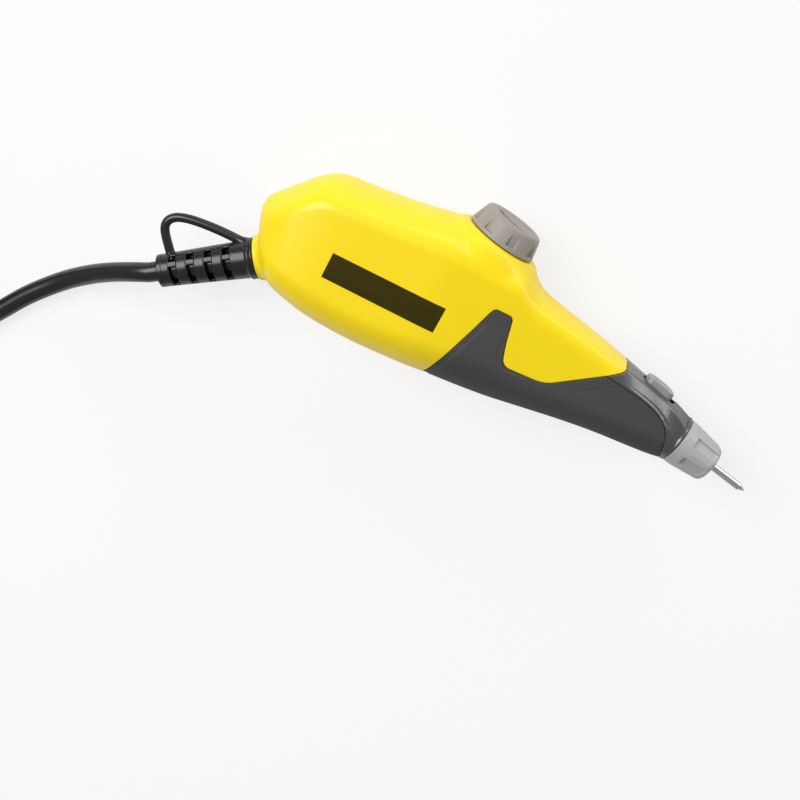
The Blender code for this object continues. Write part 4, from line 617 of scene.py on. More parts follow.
def lathe(profile, steps):
    """Turn a profile of (radius, height) about local Z, facing outward."""
    rings = []
    for radius, height in profile:
        ring = []
        for step in range(steps):
            angle = 2 * math.pi * step / steps
            ring.append((radius * math.cos(angle), radius * math.sin(angle), height))
        rings.append(ring)
    work = grid(rings, True)
    bmesh.ops.dissolve_degenerate(work, edges=work.edges, dist=MERGE)
    return work


def ways_round(steps):
    """Unit vectors round local Z at even angles."""
    angles = [2 * math.pi * step / steps for step in range(steps)]
    return [Vector((math.cos(angle), math.sin(angle), 0.0)) for angle in angles]


def arc(centre, radius, start_deg, end_deg, steps):
    """Points of an arc in a profile's plane."""
    points = []
    for step in range(steps + 1):
        angle = math.radians(start_deg + (end_deg - start_deg) * step / steps)
        points.append((centre[0] + radius * math.cos(angle), centre[1] + radius * math.sin(angle)))
    return points


def between(a, b, t):
    return (a[0] + (b[0] - a[0]) * t, a[1] + (b[1] - a[1]) * t)


def fine_profile(corners, spacing):
    """Add points on the straight runs of a profile."""
    points = [corners[0]]
    for a, b in zip(corners, corners[1:]):
        count = max(1, math.ceil(math.dist(a, b) / spacing))
        points += [between(a, b, step / count) for step in range(1, count + 1)]
    return points


def tube(name, points, radius, finish, stands_for=(), resolution=6, matrix=None, swell=None):
    """A round tube of the pen along points, as one open spline that swell can widen."""
    curve = bpy.data.curves.new(name, "CURVE")
    curve.dimensions = "3D"
    spline = curve.splines.new("POLY")
    spline.points.add(len(points) - 1)
    for knot, point in zip(spline.points, points):
        knot.co = (point[0], point[1], point[2], 1.0)
    if swell:
        for i, knot in enumerate(spline.points):
            knot.radius = swell(i / (len(points) - 1))
    curve.bevel_depth = radius
    curve.bevel_resolution = resolution
    curve.use_fill_caps = True
    return add_piece(name, curve, finish, "pen", stands_for, matrix)


def turned(corners, part):
    """A turned piece, divided as finely as its part needs."""
    spacing, steps = FINENESS[part]
    return lathe(fine_profile(corners, spacing), steps)


def smooth_route(points, spacing, straight_ends=False):
    """Points at an even spacing on a smooth curve through given points."""
    knots = [Vector(point) for point in points]
    if not straight_ends:
        knots = [knots[0] * 2 - knots[1]] + knots + [knots[-1] * 2 - knots[-2]]
    fine = []
    for a, b, c, d in zip(knots, knots[1:], knots[2:], knots[3:]):
        for step in range(KNOT_STEPS):
            t = step / KNOT_STEPS
            fine.append(0.5 * (2 * b + (c - a) * t + (2 * a - 5 * b + 4 * c - d) * t * t
                               + (3 * b - a - 3 * c + d) * t ** 3))
    fine.append(knots[-2].copy())
    reach = [0.0]
    for a, b in zip(fine, fine[1:]):
        reach.append(reach[-1] + (b - a).length)
    count = max(2, round(reach[-1] / spacing))
    wanted = np.linspace(0.0, reach[-1], count + 1)
    columns = [np.interp(wanted, reach, [point[k] for point in fine]) for k in range(3)]
    even = [Vector(point) for point in zip(*columns)]
    if straight_ends:
        even = [knots[0]] + even + [knots[-1]]
    return even


# Camera

def set_camera():
    """The photograph's viewing angle; the axes are right, up and back."""
    lens = bpy.data.cameras.new("camera")
    lens.sensor_width = SENSOR_WIDTH
    lens.lens = FOCAL_LENGTH
    lens.clip_start = NEAR_CLIP
    camera = bpy.data.objects.new("camera", lens)
    bpy.context.scene.collection.objects.link(camera)
    turn = Matrix(CAMERA_AXES).transposed().to_4x4()
    camera.matrix_world = Matrix.Translation(CAMERA_PLACE) @ turn
    bpy.context.scene.camera = camera


# Cord

def tie_share(angle):
    """How far a loop rides up over the strap at an angle of the coil, from 0 to 1."""
    off = abs((math.degrees(angle) - TIE_ANGLE_DEG + 180.0) % 360.0 - 180.0)
    flat, reach = TIE_REACH_DEG
    return eased(min(max((reach - off) / (reach - flat), 0.0), 1.0))


def coil_points():
    """Loops that spiral in on the floor, climb a layer in half a turn and spiral out again."""
    half = COIL_TURNS / 2
    count = round(COIL_TURNS * COIL_TURN_POINTS)
    low = CORD_RADIUS + GAP / 3
    points = []
    for step in range(count + 1):
        turn = COIL_TURNS * step / count
        radius = COIL_OUTER - COIL_PITCH * (half - abs(turn - half))
        rise = eased(min(max((turn - half) / 0.5 + 0.5, 0.0), 1.0))
        angle = math.radians(COIL_START_DEG) - 2 * math.pi * turn
        height = low + COIL_LAYER * rise + TIE_LIFT * tie_share(angle)
        points.append(Vector((COIL_CENTRE[0] + radius * math.cos(angle),
                              COIL_CENTRE[1] + radius * math.sin(angle), height)))
    return points


def cord_points():
    """The cord's whole route: the free stretch, the coil, and the end with the plug."""
    coil = coil_points()
    exit_point = RELIEF_FRAME @ on_axis(RELIEF_LENGTH + GAP)
    straight = RELIEF_FRAME @ on_axis(RELIEF_LENGTH + GAP + CORD_RADIUS)
    into = (coil[0] - coil[1]).normalized()
    joint = coil[0] + into * GAP
    before = coil[0] + into * (GAP + 2 * CORD_RADIUS)
    route = [tuple(exit_point), tuple(straight)] + CORD_ROUTE + [tuple(before), tuple(joint)]
    free = smooth_route(route, CORD_RADIUS, True)
    onward = (coil[-1] - coil[-2]).normalized()
    end = coil[-1] + onward * PLUG_LEAD
    end.z = PLUG_BODY[2] / 2 + GAP / 3
    run = onward * 2 * CORD_RADIUS
    lead = [coil[-1] + onward * GAP, coil[-1] + onward * GAP + run, end - run, end]
    tail = smooth_route(lead, CORD_RADIUS, True)
    return free + coil + tail


def smooth_copy(name, node, finish, sharp_deg):
    """A CAD node's shape with its rounded faces shaded smooth, in the node's place."""
    work = bmesh.new()
    work.from_mesh(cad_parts[node].data)
    bmesh.ops.remove_doubles(work, verts=work.verts, dist=MERGE)
    return add_mesh(name, work, sharp_deg, finish, "pen", (node,))


def build_cord():
    points = cord_points()
    cord = tube("mains_cord", points, CORD_RADIUS, "cord_jacket", ("cord", "cord_coil", "plug_lead"))
    plug = smooth_copy("plug_shell", "plug_body", "black_plastic", PLUG_SHARP_DEG)
    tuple(points[0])


# Housing form

def nose_row():
    """The last section, a circle square to the needle line, behind the nut's rim."""
    angle = math.radians(NEEDLE_TILT_DEG)
    along = (math.cos(angle) * GAP, -math.sin(angle) * GAP)
    up = (math.sin(angle) * NOSE_DIAMETER / 2, math.cos(angle) * NOSE_DIAMETER / 2)
    x, y = NOSE_CENTRE[0] - along[0], NOSE_CENTRE[1] - along[1]
    return (x + up[0], y + up[1], x - up[0], y - up[1], NOSE_DIAMETER / 2, 0.0, 0.0)


def side_place(x, y):
    """A place in the side view from shares of the housing's sizes."""
    return (REAR_X + x * BODY_LENGTH, y * BODY_HEIGHT)


ROWS = np.array([(*side_place(bx, by), *side_place(lx, ly), width * BODY_WIDTH / 2, top, low)
                 for bx, by, lx, ly, width, top, low in SECTION_SHARES] + [nose_row()])
KNOTS = np.concatenate([[0.0], np.cumsum(np.linalg.norm(np.diff(ROWS[:, :5], axis=0), axis=1))])
KNOTS = KNOTS / KNOTS[-1]


def row_slopes():
    """Slopes that keep the curve between its rows, as a draughtsman's batten would."""
    secants = np.diff(ROWS, axis=0) / np.diff(KNOTS)[:, None]
    slopes = np.zeros_like(ROWS)
    slopes[0], slopes[-1] = secants[0], secants[-1]
    before, after = secants[:-1], secants[1:]
    same = before * after > 0
    safe = np.where(same, before + after, 1.0)
    slopes[1:-1] = np.where(same, 2 * before * after / safe, 0.0)
    return slopes


SLOPES = row_slopes()


def section_at(share):
    """One section of the housing, at a share of the way along its rows."""
    share = min(max(share, 0.0), 1.0)
    i = min(int(np.searchsorted(KNOTS, share, side="right")) - 1, len(KNOTS) - 2)
    width = KNOTS[i + 1] - KNOTS[i]
    t = (share - KNOTS[i]) / width
    return ((2 * t ** 3 - 3 * t ** 2 + 1) * ROWS[i] + (t ** 3 - 2 * t ** 2 + t) * width * SLOPES[i]
            + (3 * t ** 2 - 2 * t ** 3) * ROWS[i + 1] + (t ** 3 - t ** 2) * width * SLOPES[i + 1])


# The evening out: how many sections, how far each is spread, and up to where it fades in
FAIR_STEPS = 400
FAIR_REACH = 5
FAIR_FROM = 0.14


def fair_rows():
    """Sections at an even spacing, evened out a little so that highlights run smoothly."""
    rows = np.array([section_at(i / FAIR_STEPS) for i in range(FAIR_STEPS + 1)])
    reach = 3 * FAIR_REACH
    weights = np.exp(-0.5 * (np.arange(-reach, reach + 1) / FAIR_REACH) ** 2)
    weights /= weights.sum()
    low = 2 * rows[0] - rows[reach:0:-1]
    high = 2 * rows[-1] - rows[-2:-reach - 2:-1]
    padded = np.vstack([low, rows, high])
    columns = [np.convolve(padded[:, k], weights, "valid") for k in range(rows.shape[1])]
    far = np.clip(np.arange(FAIR_STEPS + 1) / FAIR_STEPS / FAIR_FROM, 0.0, 1.0)[:, None]
    return rows + (np.array(columns).T - rows) * far * far * (3 - 2 * far)


FAIR_ROWS = fair_rows()


def fair_section(share):
    place = min(max(share, 0.0), 1.0) * FAIR_STEPS
    i = min(int(place), FAIR_STEPS - 1)
    return FAIR_ROWS[i] + (FAIR_ROWS[i + 1] - FAIR_ROWS[i]) * (place - i)


def bent(start, corner, end, count):
    """Points of a curve that leaves start towards corner and reaches end from it."""
    steps = [k / count for k in range(count + 1)]
    return [(1 - t) ** 2 * start + 2 * t * (1 - t) * corner + t * t * end for t in steps]


def softened(row, height):
    """The back of one section with its shoulder rounded further down the flat side."""
    width, top = row[4], row[5]
    last = math.acos(SHOULDER_START)
    half = SIDE_COUNTS[0] // 2
    points = []
    for step in range(half + 1):
        angle = math.pi / 2 + (last - math.pi / 2) * step / half
        points.append(np.array((height * (top + (1 - top) * math.sin(angle)), width * math.cos(angle))))
    slope = (1 - top) * height / width / math.tan(last)
    corner = np.array((points[-1][0] - slope * (width - points[-1][1]), width))
    end = np.array((height * top - SHOULDER_DROP, width))
    return np.array(points + bent(points[-1], corner, end, half)[1:])


def creased(row, height, seam):
    """The back of one section with a flatter roof and a crease at each side of it."""
    width, top = row[4], row[5]
    across = min(float(np.interp(row[0], CREASE_X, CREASE_Z)), CREASE_WIDEST * width)
    up = height * (top + (1 - top) * math.sqrt(1 - (across / width) ** 2))
    up += float(np.interp(row[0], CREASE_X, CREASE_LIFT))
    crest, crease = np.array((height, 0.0)), np.array((up, across))
    flat = 1.0 - rise_share(row[0], *SEAM_UNTIL)
    flank = np.array((max(height * top * (1 - flat) + seam * flat, seam), width))
    before = crease + (crest - crease) * CREASE_REACH / np.linalg.norm(crest - crease)
    after = crease + (flank - crease) * CREASE_REACH / np.linalg.norm(flank - crease)
    steps = SIDE_COUNTS[0] // 2 - 2
    points = [crest + (before - crest) * k / steps for k in range(steps + 1)]
    points += bent(before, crease, after, 4)[1:-1]
    points += [after + (flank - after) * k / steps for k in range(steps + 1)]
    return np.array(points)


def rise_share(x, start, end):
    """A smooth step from 0 to 1 between two places along the pen."""
    return eased(min(max((x - start) / (end - start), 0.0), 1.0))


def half_outline(row):
    """Points (x, y, z from the midplane) from the back over the flat side to the belly."""
    back, belly = np.array(row[:2]), np.array(row[2:4])
    centre = (back + belly) / 2
    height = np.linalg.norm(back - belly) / 2
    rise = (back - belly) / (2 * height)
    width, top, low = row[4], row[5], row[6]
    over, down, under = SIDE_COUNTS
    points = []
    for step in range(over + 1):
        angle = math.pi / 2 * (1 - step / over)
        points.append((height * (top + (1 - top) * math.sin(angle)), width * math.cos(angle)))
    points = np.array(points)
    soft = rise_share(row[0], *SHOULDER_FROM)
    if soft > 0.0:
        points = points * (1 - soft) + softened(row, height) * soft
    share = rise_share(row[0], *CREASE_FROM)
    if share > 0.0:
        line = float(np.interp(row[0], SEAM_X, SEAM_Y)) + CREASE_ABOVE_SEAM
        seam = (line - centre[1]) / rise[1]
        points = points * (1 - share) + creased(row, height, seam) * share
    points = [tuple(point) for point in points]
    flat_top = points[-1][0]
    for step in range(1, down):
        points.append((flat_top + (height * low - flat_top) * step / down, width))
    for step in range(under + 1):
        angle = math.pi / 2 * step / under
        points.append((height * (low - (1 + low) * math.sin(angle)), width * math.cos(angle)))
    return [(*(centre + rise * v), max(z, 0.0)) for v, z in points]


def rest_on_pad(points):
    """Level the back of the housing to a round pad under the dial."""
    angle = math.radians(90.0 - DIAL_TILT_DEG)
    axis = np.array((math.cos(angle), math.sin(angle), 0.0))
    offset = points - np.array((*DIAL_CENTRE, 0.0))
    height = offset @ axis
    radius = np.linalg.norm(offset - height[:, None] * axis, axis=1)
    flat = DIAL_RADIUS + GAP
    near = np.clip((flat + PAD_BLEND - radius) / PAD_BLEND, 0.0, 1.0)
    weight = np.where(np.abs(height) > 2 * PAD_BLEND, 0.0, eased(near))
    return points - axis * (height * weight)[:, None]


# Steps of a section over its back, down its flat side and under its belly
SIDE_COUNTS = (26, 10, 30)

# The creases beside the nose's roof: places along the back, and how far they lie to the side
CREASE_FROM = metres(74.0, 85.0)
CREASE_X = metres(80.0, 85.0, 92.0, 99.5, 104.7, 108.7, 111.0)
CREASE_Z = metres(8.4, 7.6, 6.4, 5.5, 5.2, 5.5, 5.7)
CREASE_LIFT = metres(0.3, 0.4, 0.4, 0.3, 0.15, 0.0, 0.0)
CREASE_ABOVE_SEAM = 0.5 * MM
CREASE_REACH = 0.45 * MM
CREASE_WIDEST = 0.93
SEAM_X, SEAM_Y = zip(*[side_place(*shares) for shares in NOSE_SEAM_SHARES])
SEAM_UNTIL = metres(93.0, 106.0)

# The shoulder between the flat side and the roof in front of the dial
SHOULDER_FROM = metres(44.0, 56.0)
SHOULDER_START = 0.78
SHOULDER_DROP = 3.4 * MM
# Where the centre line starts to fall, and how steeply beside the needle line
BEND_X = 20.0 * MM
BEND_SHARE = 0.45
REAR_CAP_RINGS = 8
REAR_CAP_BULGE = 0.3 * MM


def half_rings(side, first, last, stations):
    """Rings of points of one half of the housing's outer face; side is 1 for right."""
    rings = []
    if first == 0.0:
        rim = np.array(half_outline(fair_section(0.0)))
        middle = np.array((*rim[:, :2].mean(axis=0), 0.0))
        for step in range(REAR_CAP_RINGS):
            t = math.pi / 2 * step / REAR_CAP_RINGS
            ring = middle + (rim - middle) * math.sin(t)
            ring[:, 0] -= REAR_CAP_BULGE * math.cos(t)
            rings.append(ring)
    for step in range(stations + 1):
        share = first + (last - first) * step / stations
        rings.append(np.array(half_outline(fair_section(share))))
    placed = []
    for ring in rings:
        ring = rest_on_pad(ring)
        ring[:, 2] = MIDDLE + side * ring[:, 2]
        placed.append(ring)
    return placed


def turn_outward(work):
    """Turn the faces of a part of the housing's form outward."""
    bmesh.ops.recalc_face_normals(work, faces=work.faces)
    face_outward(work, centre_line)
    return work


def centre_line(point):
    """A point on the midplane near the housing's centre, for telling inside from outside."""
    tilt = math.tan(math.radians(NEEDLE_TILT_DEG))
    drop = (point.x - BEND_X) * tilt * BEND_SHARE if point.x > BEND_X else 0.0
    return Vector((point.x, -drop, MIDDLE))


# Seams

def round_corners(corners, steps=8):
    """Replace each corner (x, y, cut) by a curve that starts a cut before it."""
    points = []
    for i, (x, y, cut) in enumerate(corners):
        here = np.array((x, y))
        if cut == 0.0:
            points.append(here)
            continue
        before, after = np.array(corners[i - 1][:2]), np.array(corners[i + 1][:2])
        start = here + (before - here) * cut / np.linalg.norm(before - here)
        end = here + (after - here) * cut / np.linalg.norm(after - here)
        points += bent(start, here, end, steps)
    return points


def shell_line():
    points = round_corners([(*side_place(x, y), cut * BODY_LENGTH) for x, y, cut in SHELL_SEAM_SHARES])
    return np.array([(points[0][0], -FAR)] + points + [(points[-1][0], FAR)])


def smooth_line(corners, spacing):
    """A line of the side view through given points."""
    route = smooth_route([Vector((x, y, 0.0)) for x, y in corners], spacing)
    return [(point.x, point.y) for point in route]


def nose_line():
    points = smooth_line(zip(SEAM_X, SEAM_Y), 1.0 * MM)
    return np.array([(points[0][0], FAR)] + points + [(points[-1][0], -FAR)])


def beside_line(line):
    """A field: how far a point lies to the left of a line of the side view."""
    starts, spans = line[:-1], np.diff(line, axis=0)
    lengths = (spans ** 2).sum(axis=1)

    def field(points):
        flat = points[:, None, :2] - starts[None]
        t = np.clip((flat * spans).sum(axis=2) / lengths, 0.0, 1.0)
        off = flat - spans * t[:, :, None]
        reach = np.linalg.norm(off, axis=2)
        best = reach.argmin(axis=1)
        rows = np.arange(len(points))
        turn = spans[best, 0] * flat[rows, best, 1] - spans[best, 1] * flat[rows, best, 0]
        return np.where(turn > 0, 1.0, -1.0) * reach[rows, best]

    return field


LEFT_OF_SHELL_LINE = beside_line(shell_line())
LEFT_OF_NOSE_LINE = beside_line(nose_line())


def seam_edge(left_of, sign):
    """A field and its rounding: one side of a seam, with half of the seam's gap left out."""
    def field(points):
        return sign * left_of(points) - SEAM_HALF_GAP
    return field, SEAM_ROUND


def parting_field(points):
    return np.abs(points[:, 2] - MIDDLE) - PARTING_HALF_GAP


def screw_field(place):
    def field(points):
        return np.linalg.norm(points[:, :2] - np.array(place), axis=1) - SCREW_WELL
    return field


def slot_field(points):
    """Distance outside the switch's slot, measured in the switch's frame."""
    local = points @ np.array(SWITCH_FRAME.inverted().to_3x3()).T
    local = local + np.array(SWITCH_FRAME.inverted().translation)
    middle = -(BUTTON_SHIFT + SWITCH_TRAVEL / 2) + SLOT_REAR_ROOM / 2
    length = BUTTON_SIZE[0] + SWITCH_TRAVEL + 2 * GAP + SLOT_REAR_ROOM
    width = BUTTON_SIZE[1] + GAP
    off = boxed(local[:, 0] - middle, local[:, 1], length / 2, width / 2, BUTTON_CORNER)
    return np.where(local[:, 2] > -6.0 * MM, off, 1.0)


def boxed(x, y, half_x, half_y, corner):
    """Distance outside a rectangle with rounded corners."""
    dx, dy = np.abs(x) - half_x + corner, np.abs(y) - half_y + corner
    outside = np.hypot(np.maximum(dx, 0.0), np.maximum(dy, 0.0))
    return outside + np.minimum(np.maximum(dx, dy), 0.0) - corner


GRIP_STEP = rows_in_metres(
    (30.5, -24.5), (38.5, -4.6), (40.9, 1.1), (42.2, 2.3), (45.2, 2.4), (46.6, 1.2), (46.9, -3.6),
    (48.0, -6.6), (50.6, -8.6), (55.0, -9.0), (63.0, -8.6),
)
GRIP_GROOVE = rows_in_metres((72.0, -7.2), (77.0, -4.1), (81.0, -1.7), (87.0, 1.8))
STEP_DEPTH = 0.16 * MM
STEP_HALF_WIDTH = 0.11 * MM
STEP_END = 60.0 * MM
STEP_FADE = 6.0 * MM
GROOVE_DEPTH = 0.07 * MM
GROOVE_HALF_WIDTH = 0.12 * MM
GROOVE_CUT = 0.15 * MM


LEFT_OF_STEP = beside_line(np.array(smooth_line(GRIP_STEP, 0.5 * MM)))
LEFT_OF_GROOVE = beside_line(np.array(smooth_line(GRIP_GROOVE, 0.5 * MM)))


def near_only(field, reach, end):
    """A field near its line, up to a place along the pen, and far off elsewhere."""
    def limited(points):
        away = field(points)
        return np.where((np.abs(away) < reach) & (points[:, 0] < end), away, reach)
    return limited


def grip_relief(points):
    """The low border round the grip's panel, and the fine groove behind the nose."""
    fade = np.clip((STEP_END - points[:, 0]) / STEP_FADE, 0.0, 1.0)
    low = STEP_DEPTH * step_up(LEFT_OF_STEP(points), STEP_HALF_WIDTH) * fade
    return low + GROOVE_DEPTH * np.exp(-(LEFT_OF_GROOVE(points) / GROOVE_HALF_WIDTH) ** 2)


GRIP_LINES = [
    (near_only(LEFT_OF_STEP, 1.0 * MM, 61.0 * MM), (-STEP_HALF_WIDTH, 0.0, STEP_HALF_WIDTH)),
    (near_only(LEFT_OF_GROOVE, 1.0 * MM, 1.0), (-GROOVE_CUT, 0.0, GROOVE_CUT)),
]

# Where the faces along a rounded edge are cut, as shares of its radius
EDGE_SHARES = (0.0, 0.1, 0.3, 0.6, 1.0)


def skin(name, sides, part, edges, finish, node, lines=(), relief=None):
    """One moulding of the housing: its part of the form, cut and rounded along its edges."""
    work = bmesh.new()
    for side in sides:
        absorb(work, grid(half_rings(side, *part)))
    bmesh.ops.remove_doubles(work, verts=work.verts, dist=MERGE)
    turn_outward(work)
    for field, radius in edges:
        trim(work, field, [share * radius for share in EDGE_SHARES])
    for field, levels in lines:
        for level in levels:
            split_at(work, field, level)

    def depth_at(points):
        depth = np.zeros(len(points))
        for field, radius in edges:
            depth = np.maximum(depth, rounding(np.maximum(field(points), 0.0), radius))
        return depth + relief(points) if relief else depth

    sink(work, depth_at)
    thicken(add_mesh(name, work, SHARP_DEG, finish, "pen", (node,)), SKIN_THICKNESS)


def build_tongue():
    """The tongue under the seams, which closes the joint between the mouldings."""
    work = bmesh.new()
    for side in (1, -1):
        for beside in (LEFT_OF_SHELL_LINE, LEFT_OF_NOSE_LINE):
            def near(points, beside=beside):
                return TONGUE_HALF_WIDTH - np.abs(beside(points))

            part = turn_outward(grid(half_rings(side, *TONGUE_PART)))
            trim(part, near, (0.0,))
            sink(part, lambda points: np.full(len(points), TONGUE_DEPTH))
            absorb(work, part)
    thicken(add_mesh("seam_tongue", work, SHARP_DEG, "black_plastic"), TONGUE_THICKNESS)


def build_housing():
    parting = (parting_field, PARTING_ROUND)
    off_shell = seam_edge(LEFT_OF_SHELL_LINE, -1)
    yellow = [seam_edge(LEFT_OF_SHELL_LINE, 1), parting]
    wells = [(screw_field(place), WELL_ROUND) for place in SCREW_PLACES]
    skin("housing_skin_right", (1,), SHELL_PART, yellow, "yellow_plastic", "housing_right")
    skin("housing_skin_left", (-1,), SHELL_PART, yellow + wells, "yellow_plastic", "housing_left")
    grip = [off_shell, seam_edge(LEFT_OF_NOSE_LINE, -1), parting]
    well = [(screw_field(GRIP_SCREW_PLACE), WELL_ROUND)]
    for word, side, edges in (("right", 1, grip), ("left", -1, grip + well)):
        skin(f"grip_skin_{word}", (side,), GRIP_PART, edges, "soft_grip", f"grip_{word}", GRIP_LINES,
             grip_relief)
    nose = [off_shell, seam_edge(LEFT_OF_NOSE_LINE, 1), (slot_field, SLOT_ROUND)]
    skin("nose_skin", (1, -1), NOSE_PART, nose, "hard_grey_plastic", "nose_sleeve")


# Side plate

PLATE_CORNERS = rows_in_metres((-8.4, 2.5), (-8.9, -5.5), (27.6, -6.7), (28.2, 1.5))
PLATE_RISE = 0.12 * MM
PLATE_ROUND = 0.12 * MM
PLATE_THICKNESS = 0.4 * MM


def build_plate():
    """A thin plate on the flat right side, bare."""
    work = turn_outward(grid(half_rings(1, *PLATE_PART)))
    sides = [beside_side(a, b) for a, b in zip(PLATE_CORNERS, PLATE_CORNERS[1:] + PLATE_CORNERS[:1])]
    for levels in ((0.0,), (0.05 * MM, PLATE_ROUND)):
        for side in sides:
            trim(work, side, levels)

    def depth_at(points):
        inside = np.min([side(points) for side in sides], axis=0)
        return rounding(np.maximum(inside, 0.0), PLATE_ROUND) - PLATE_RISE

    sink(work, depth_at)
    thicken(add_mesh("side_plate", work, SHARP_DEG, "side_plate"), PLATE_THICKNESS)


def beside_side(a, b):
    """A field: how far points lie to the left of the straight line from a to b."""
    length = math.dist(a, b)
    way = ((b[0] - a[0]) / length, (b[1] - a[1]) / length)

    def field(points):
        return way[0] * (points[:, 1] - a[1]) - way[1] * (points[:, 0] - a[0])

    return field


# Stroke dial

def wrapped(angle):
    return (angle + math.pi) % (2 * math.pi) - math.pi


def polar(points):
    """Angles and radii of points about local Z."""
    return np.arctan2(points[:, 1], points[:, 0]), np.hypot(points[:, 0], points[:, 1])


def pocket_field(count, turn, span, halves, corner):
    """Distance outside the pockets of a round grip; halves are at its two ends."""
    def field(points):
        angle, radius = polar(points)
        off = wrapped((angle - turn) * count) / count
        share = np.clip((points[:, 2] - span[0]) / (span[1] - span[0]), 0.0, 1.0)
        half = halves[0] + (halves[1] - halves[0]) * share
        return boxed(off * radius, points[:, 2] - sum(span) / 2, half, (span[1] - span[0]) / 2,
                     corner)
    return field


def build_dial():
    base, top = GAP, DIAL_HEIGHT + GAP
    flange = base + DIAL_FLANGE
    side = math.degrees(math.atan2(DIAL_RADIUS - DIAL_TOP_RADIUS, top - flange))
    edge = (DIAL_TOP_RADIUS - DIAL_EDGE, top - DIAL_EDGE)
    corners = [(DIAL_BORE, base), (DIAL_RADIUS - FOOT_EDGE, base)]
    corners += arc((DIAL_RADIUS - FOOT_EDGE, base + FOOT_EDGE), FOOT_EDGE, -90, 0, 4)[1:]
    corners += [(DIAL_RADIUS, flange - 0.2 * MM), (DIAL_RADIUS - 0.12 * MM, flange + 0.05 * MM)]
    corners += arc(edge, DIAL_EDGE, side, 90, 10)
    dished = 12
    rim = DIAL_TOP_RADIUS - DIAL_EDGE - 0.35 * MM
    for step in range(dished + 1):
        t = 1 - step / dished
        corners.append((max(rim * t, 0.001 * MM), top - DIAL_DISH * (1 - t ** 3)))
    work = turned(corners, "dial")
    face_outward(work, lambda point: on_axis(top / 2))
    span = [flange + height for height in DIAL_POCKET_SPAN]
    pockets = pocket_field(DIAL_POCKETS, math.radians(DIAL_POCKET_TURN_DEG), span,
                           DIAL_POCKET_HALVES, DIAL_POCKET_CORNER)
    floor = DIAL_RADIUS - 0.3 * MM - DIAL_POCKET_DEPTH
    turn = math.radians(DIAL_SLOT_TURN_DEG)
    length, width, depth = DIAL_SLOT

    def slot(points):
        x = points[:, 0] * math.cos(turn) + points[:, 1] * math.sin(turn)
        y = points[:, 1] * math.cos(turn) - points[:, 0] * math.sin(turn)
        off = boxed(x, y, width / 2, length / 2, width / 2.1)
        return np.where(points[:, 2] > top - 1.2 * DIAL_DISH, off, FAR_OFF)

    for level in DIAL_CUTS:
        split_at(work, pockets, level)
        split_at(work, slot, level)

    def depth_at(points):
        radius = np.hypot(points[:, 0], points[:, 1])
        pocket = np.maximum(radius - floor, 0.0) * step_up(-0.09 * MM - pockets(points), 0.13 * MM)
        return pocket + depth * step_up(-0.08 * MM - slot(points), 0.22 * MM)

    sink(work, depth_at)
    add_mesh("dial_cap", work, 70.0, "dial_grey_plastic", "dial", ("stroke_dial",), DIAL_FRAME)


# Slide button

def build_button():
    """A slide button with round ends, a crowned top and a shallow hollow along it."""
    length, width = BUTTON_SIZE
    levels = [(0.0, -BUTTON_ROOT), (0.0, -0.6 * MM), (0.02 * MM, 0.0),
              (0.05 * MM, BUTTON_RISE - BUTTON_EDGE)]
    for step in range(1, 7):
        angle = math.radians(90 * step / 6)
        levels.append((0.05 * MM + BUTTON_EDGE * (1 - math.cos(angle)),
                       BUTTON_RISE - BUTTON_EDGE * (1 - math.sin(angle))))
    levels += [(inset * MM, BUTTON_RISE) for inset in (0.9, 1.1, 1.4, 1.8, 2.2, 2.6, 3.0)]
    rings = []
    for inset, height in levels:
        corner = max(BUTTON_CORNER - inset, 0.1 * MM)
        ring = []
        for x, y in rounded_outline(length - 2 * inset, width - 2 * inset, corner, 10, 12, 4):
            crown = BUTTON_CROWN * (x / (length / 2)) ** 2 if height > 0 else 0.0
            hollow = BUTTON_HOLLOW * min(max((inset - 0.8 * MM) / (0.9 * MM), 0.0), 1.0)
            ring.append((x, y, height - crown - hollow))
        rings.append(ring)
    rings.append([(x, 0.0, height) for x, y, height in rings[-1]])
    work = grid(rings, True)
    bmesh.ops.recalc_face_normals(work, faces=work.faces)
    add_mesh("slide_button", work, 50.0, "button_grey_plastic", "switch", ("switch_button",),
             along_nose(BUTTON_SHIFT))


def rounded_outline(length, width, corner, corner_steps, long_steps, short_steps):
    """A rectangle with round corners, with points along its sides too."""
    points = []
    runs = ((1, -1, short_steps), (1, 1, long_steps), (-1, 1, short_steps), (-1, -1, long_steps))
    for quarter, (sx, sy, _) in enumerate(runs):
        middle = (sx * (length / 2 - corner), sy * (width / 2 - corner))
        points += arc(middle, corner, -90 + 90 * quarter, 90 * quarter, corner_steps)
    filled = []
    for i, point in enumerate(points):
        filled.append(point)
        if (i + 1) % (corner_steps + 1) == 0:
            after = points[(i + 1) % len(points)]
            count = runs[(i + 1) // (corner_steps + 1) - 1][2]
            filled += [between(point, after, step / count) for step in range(1, count)]
    return filled


# Union nut and needle

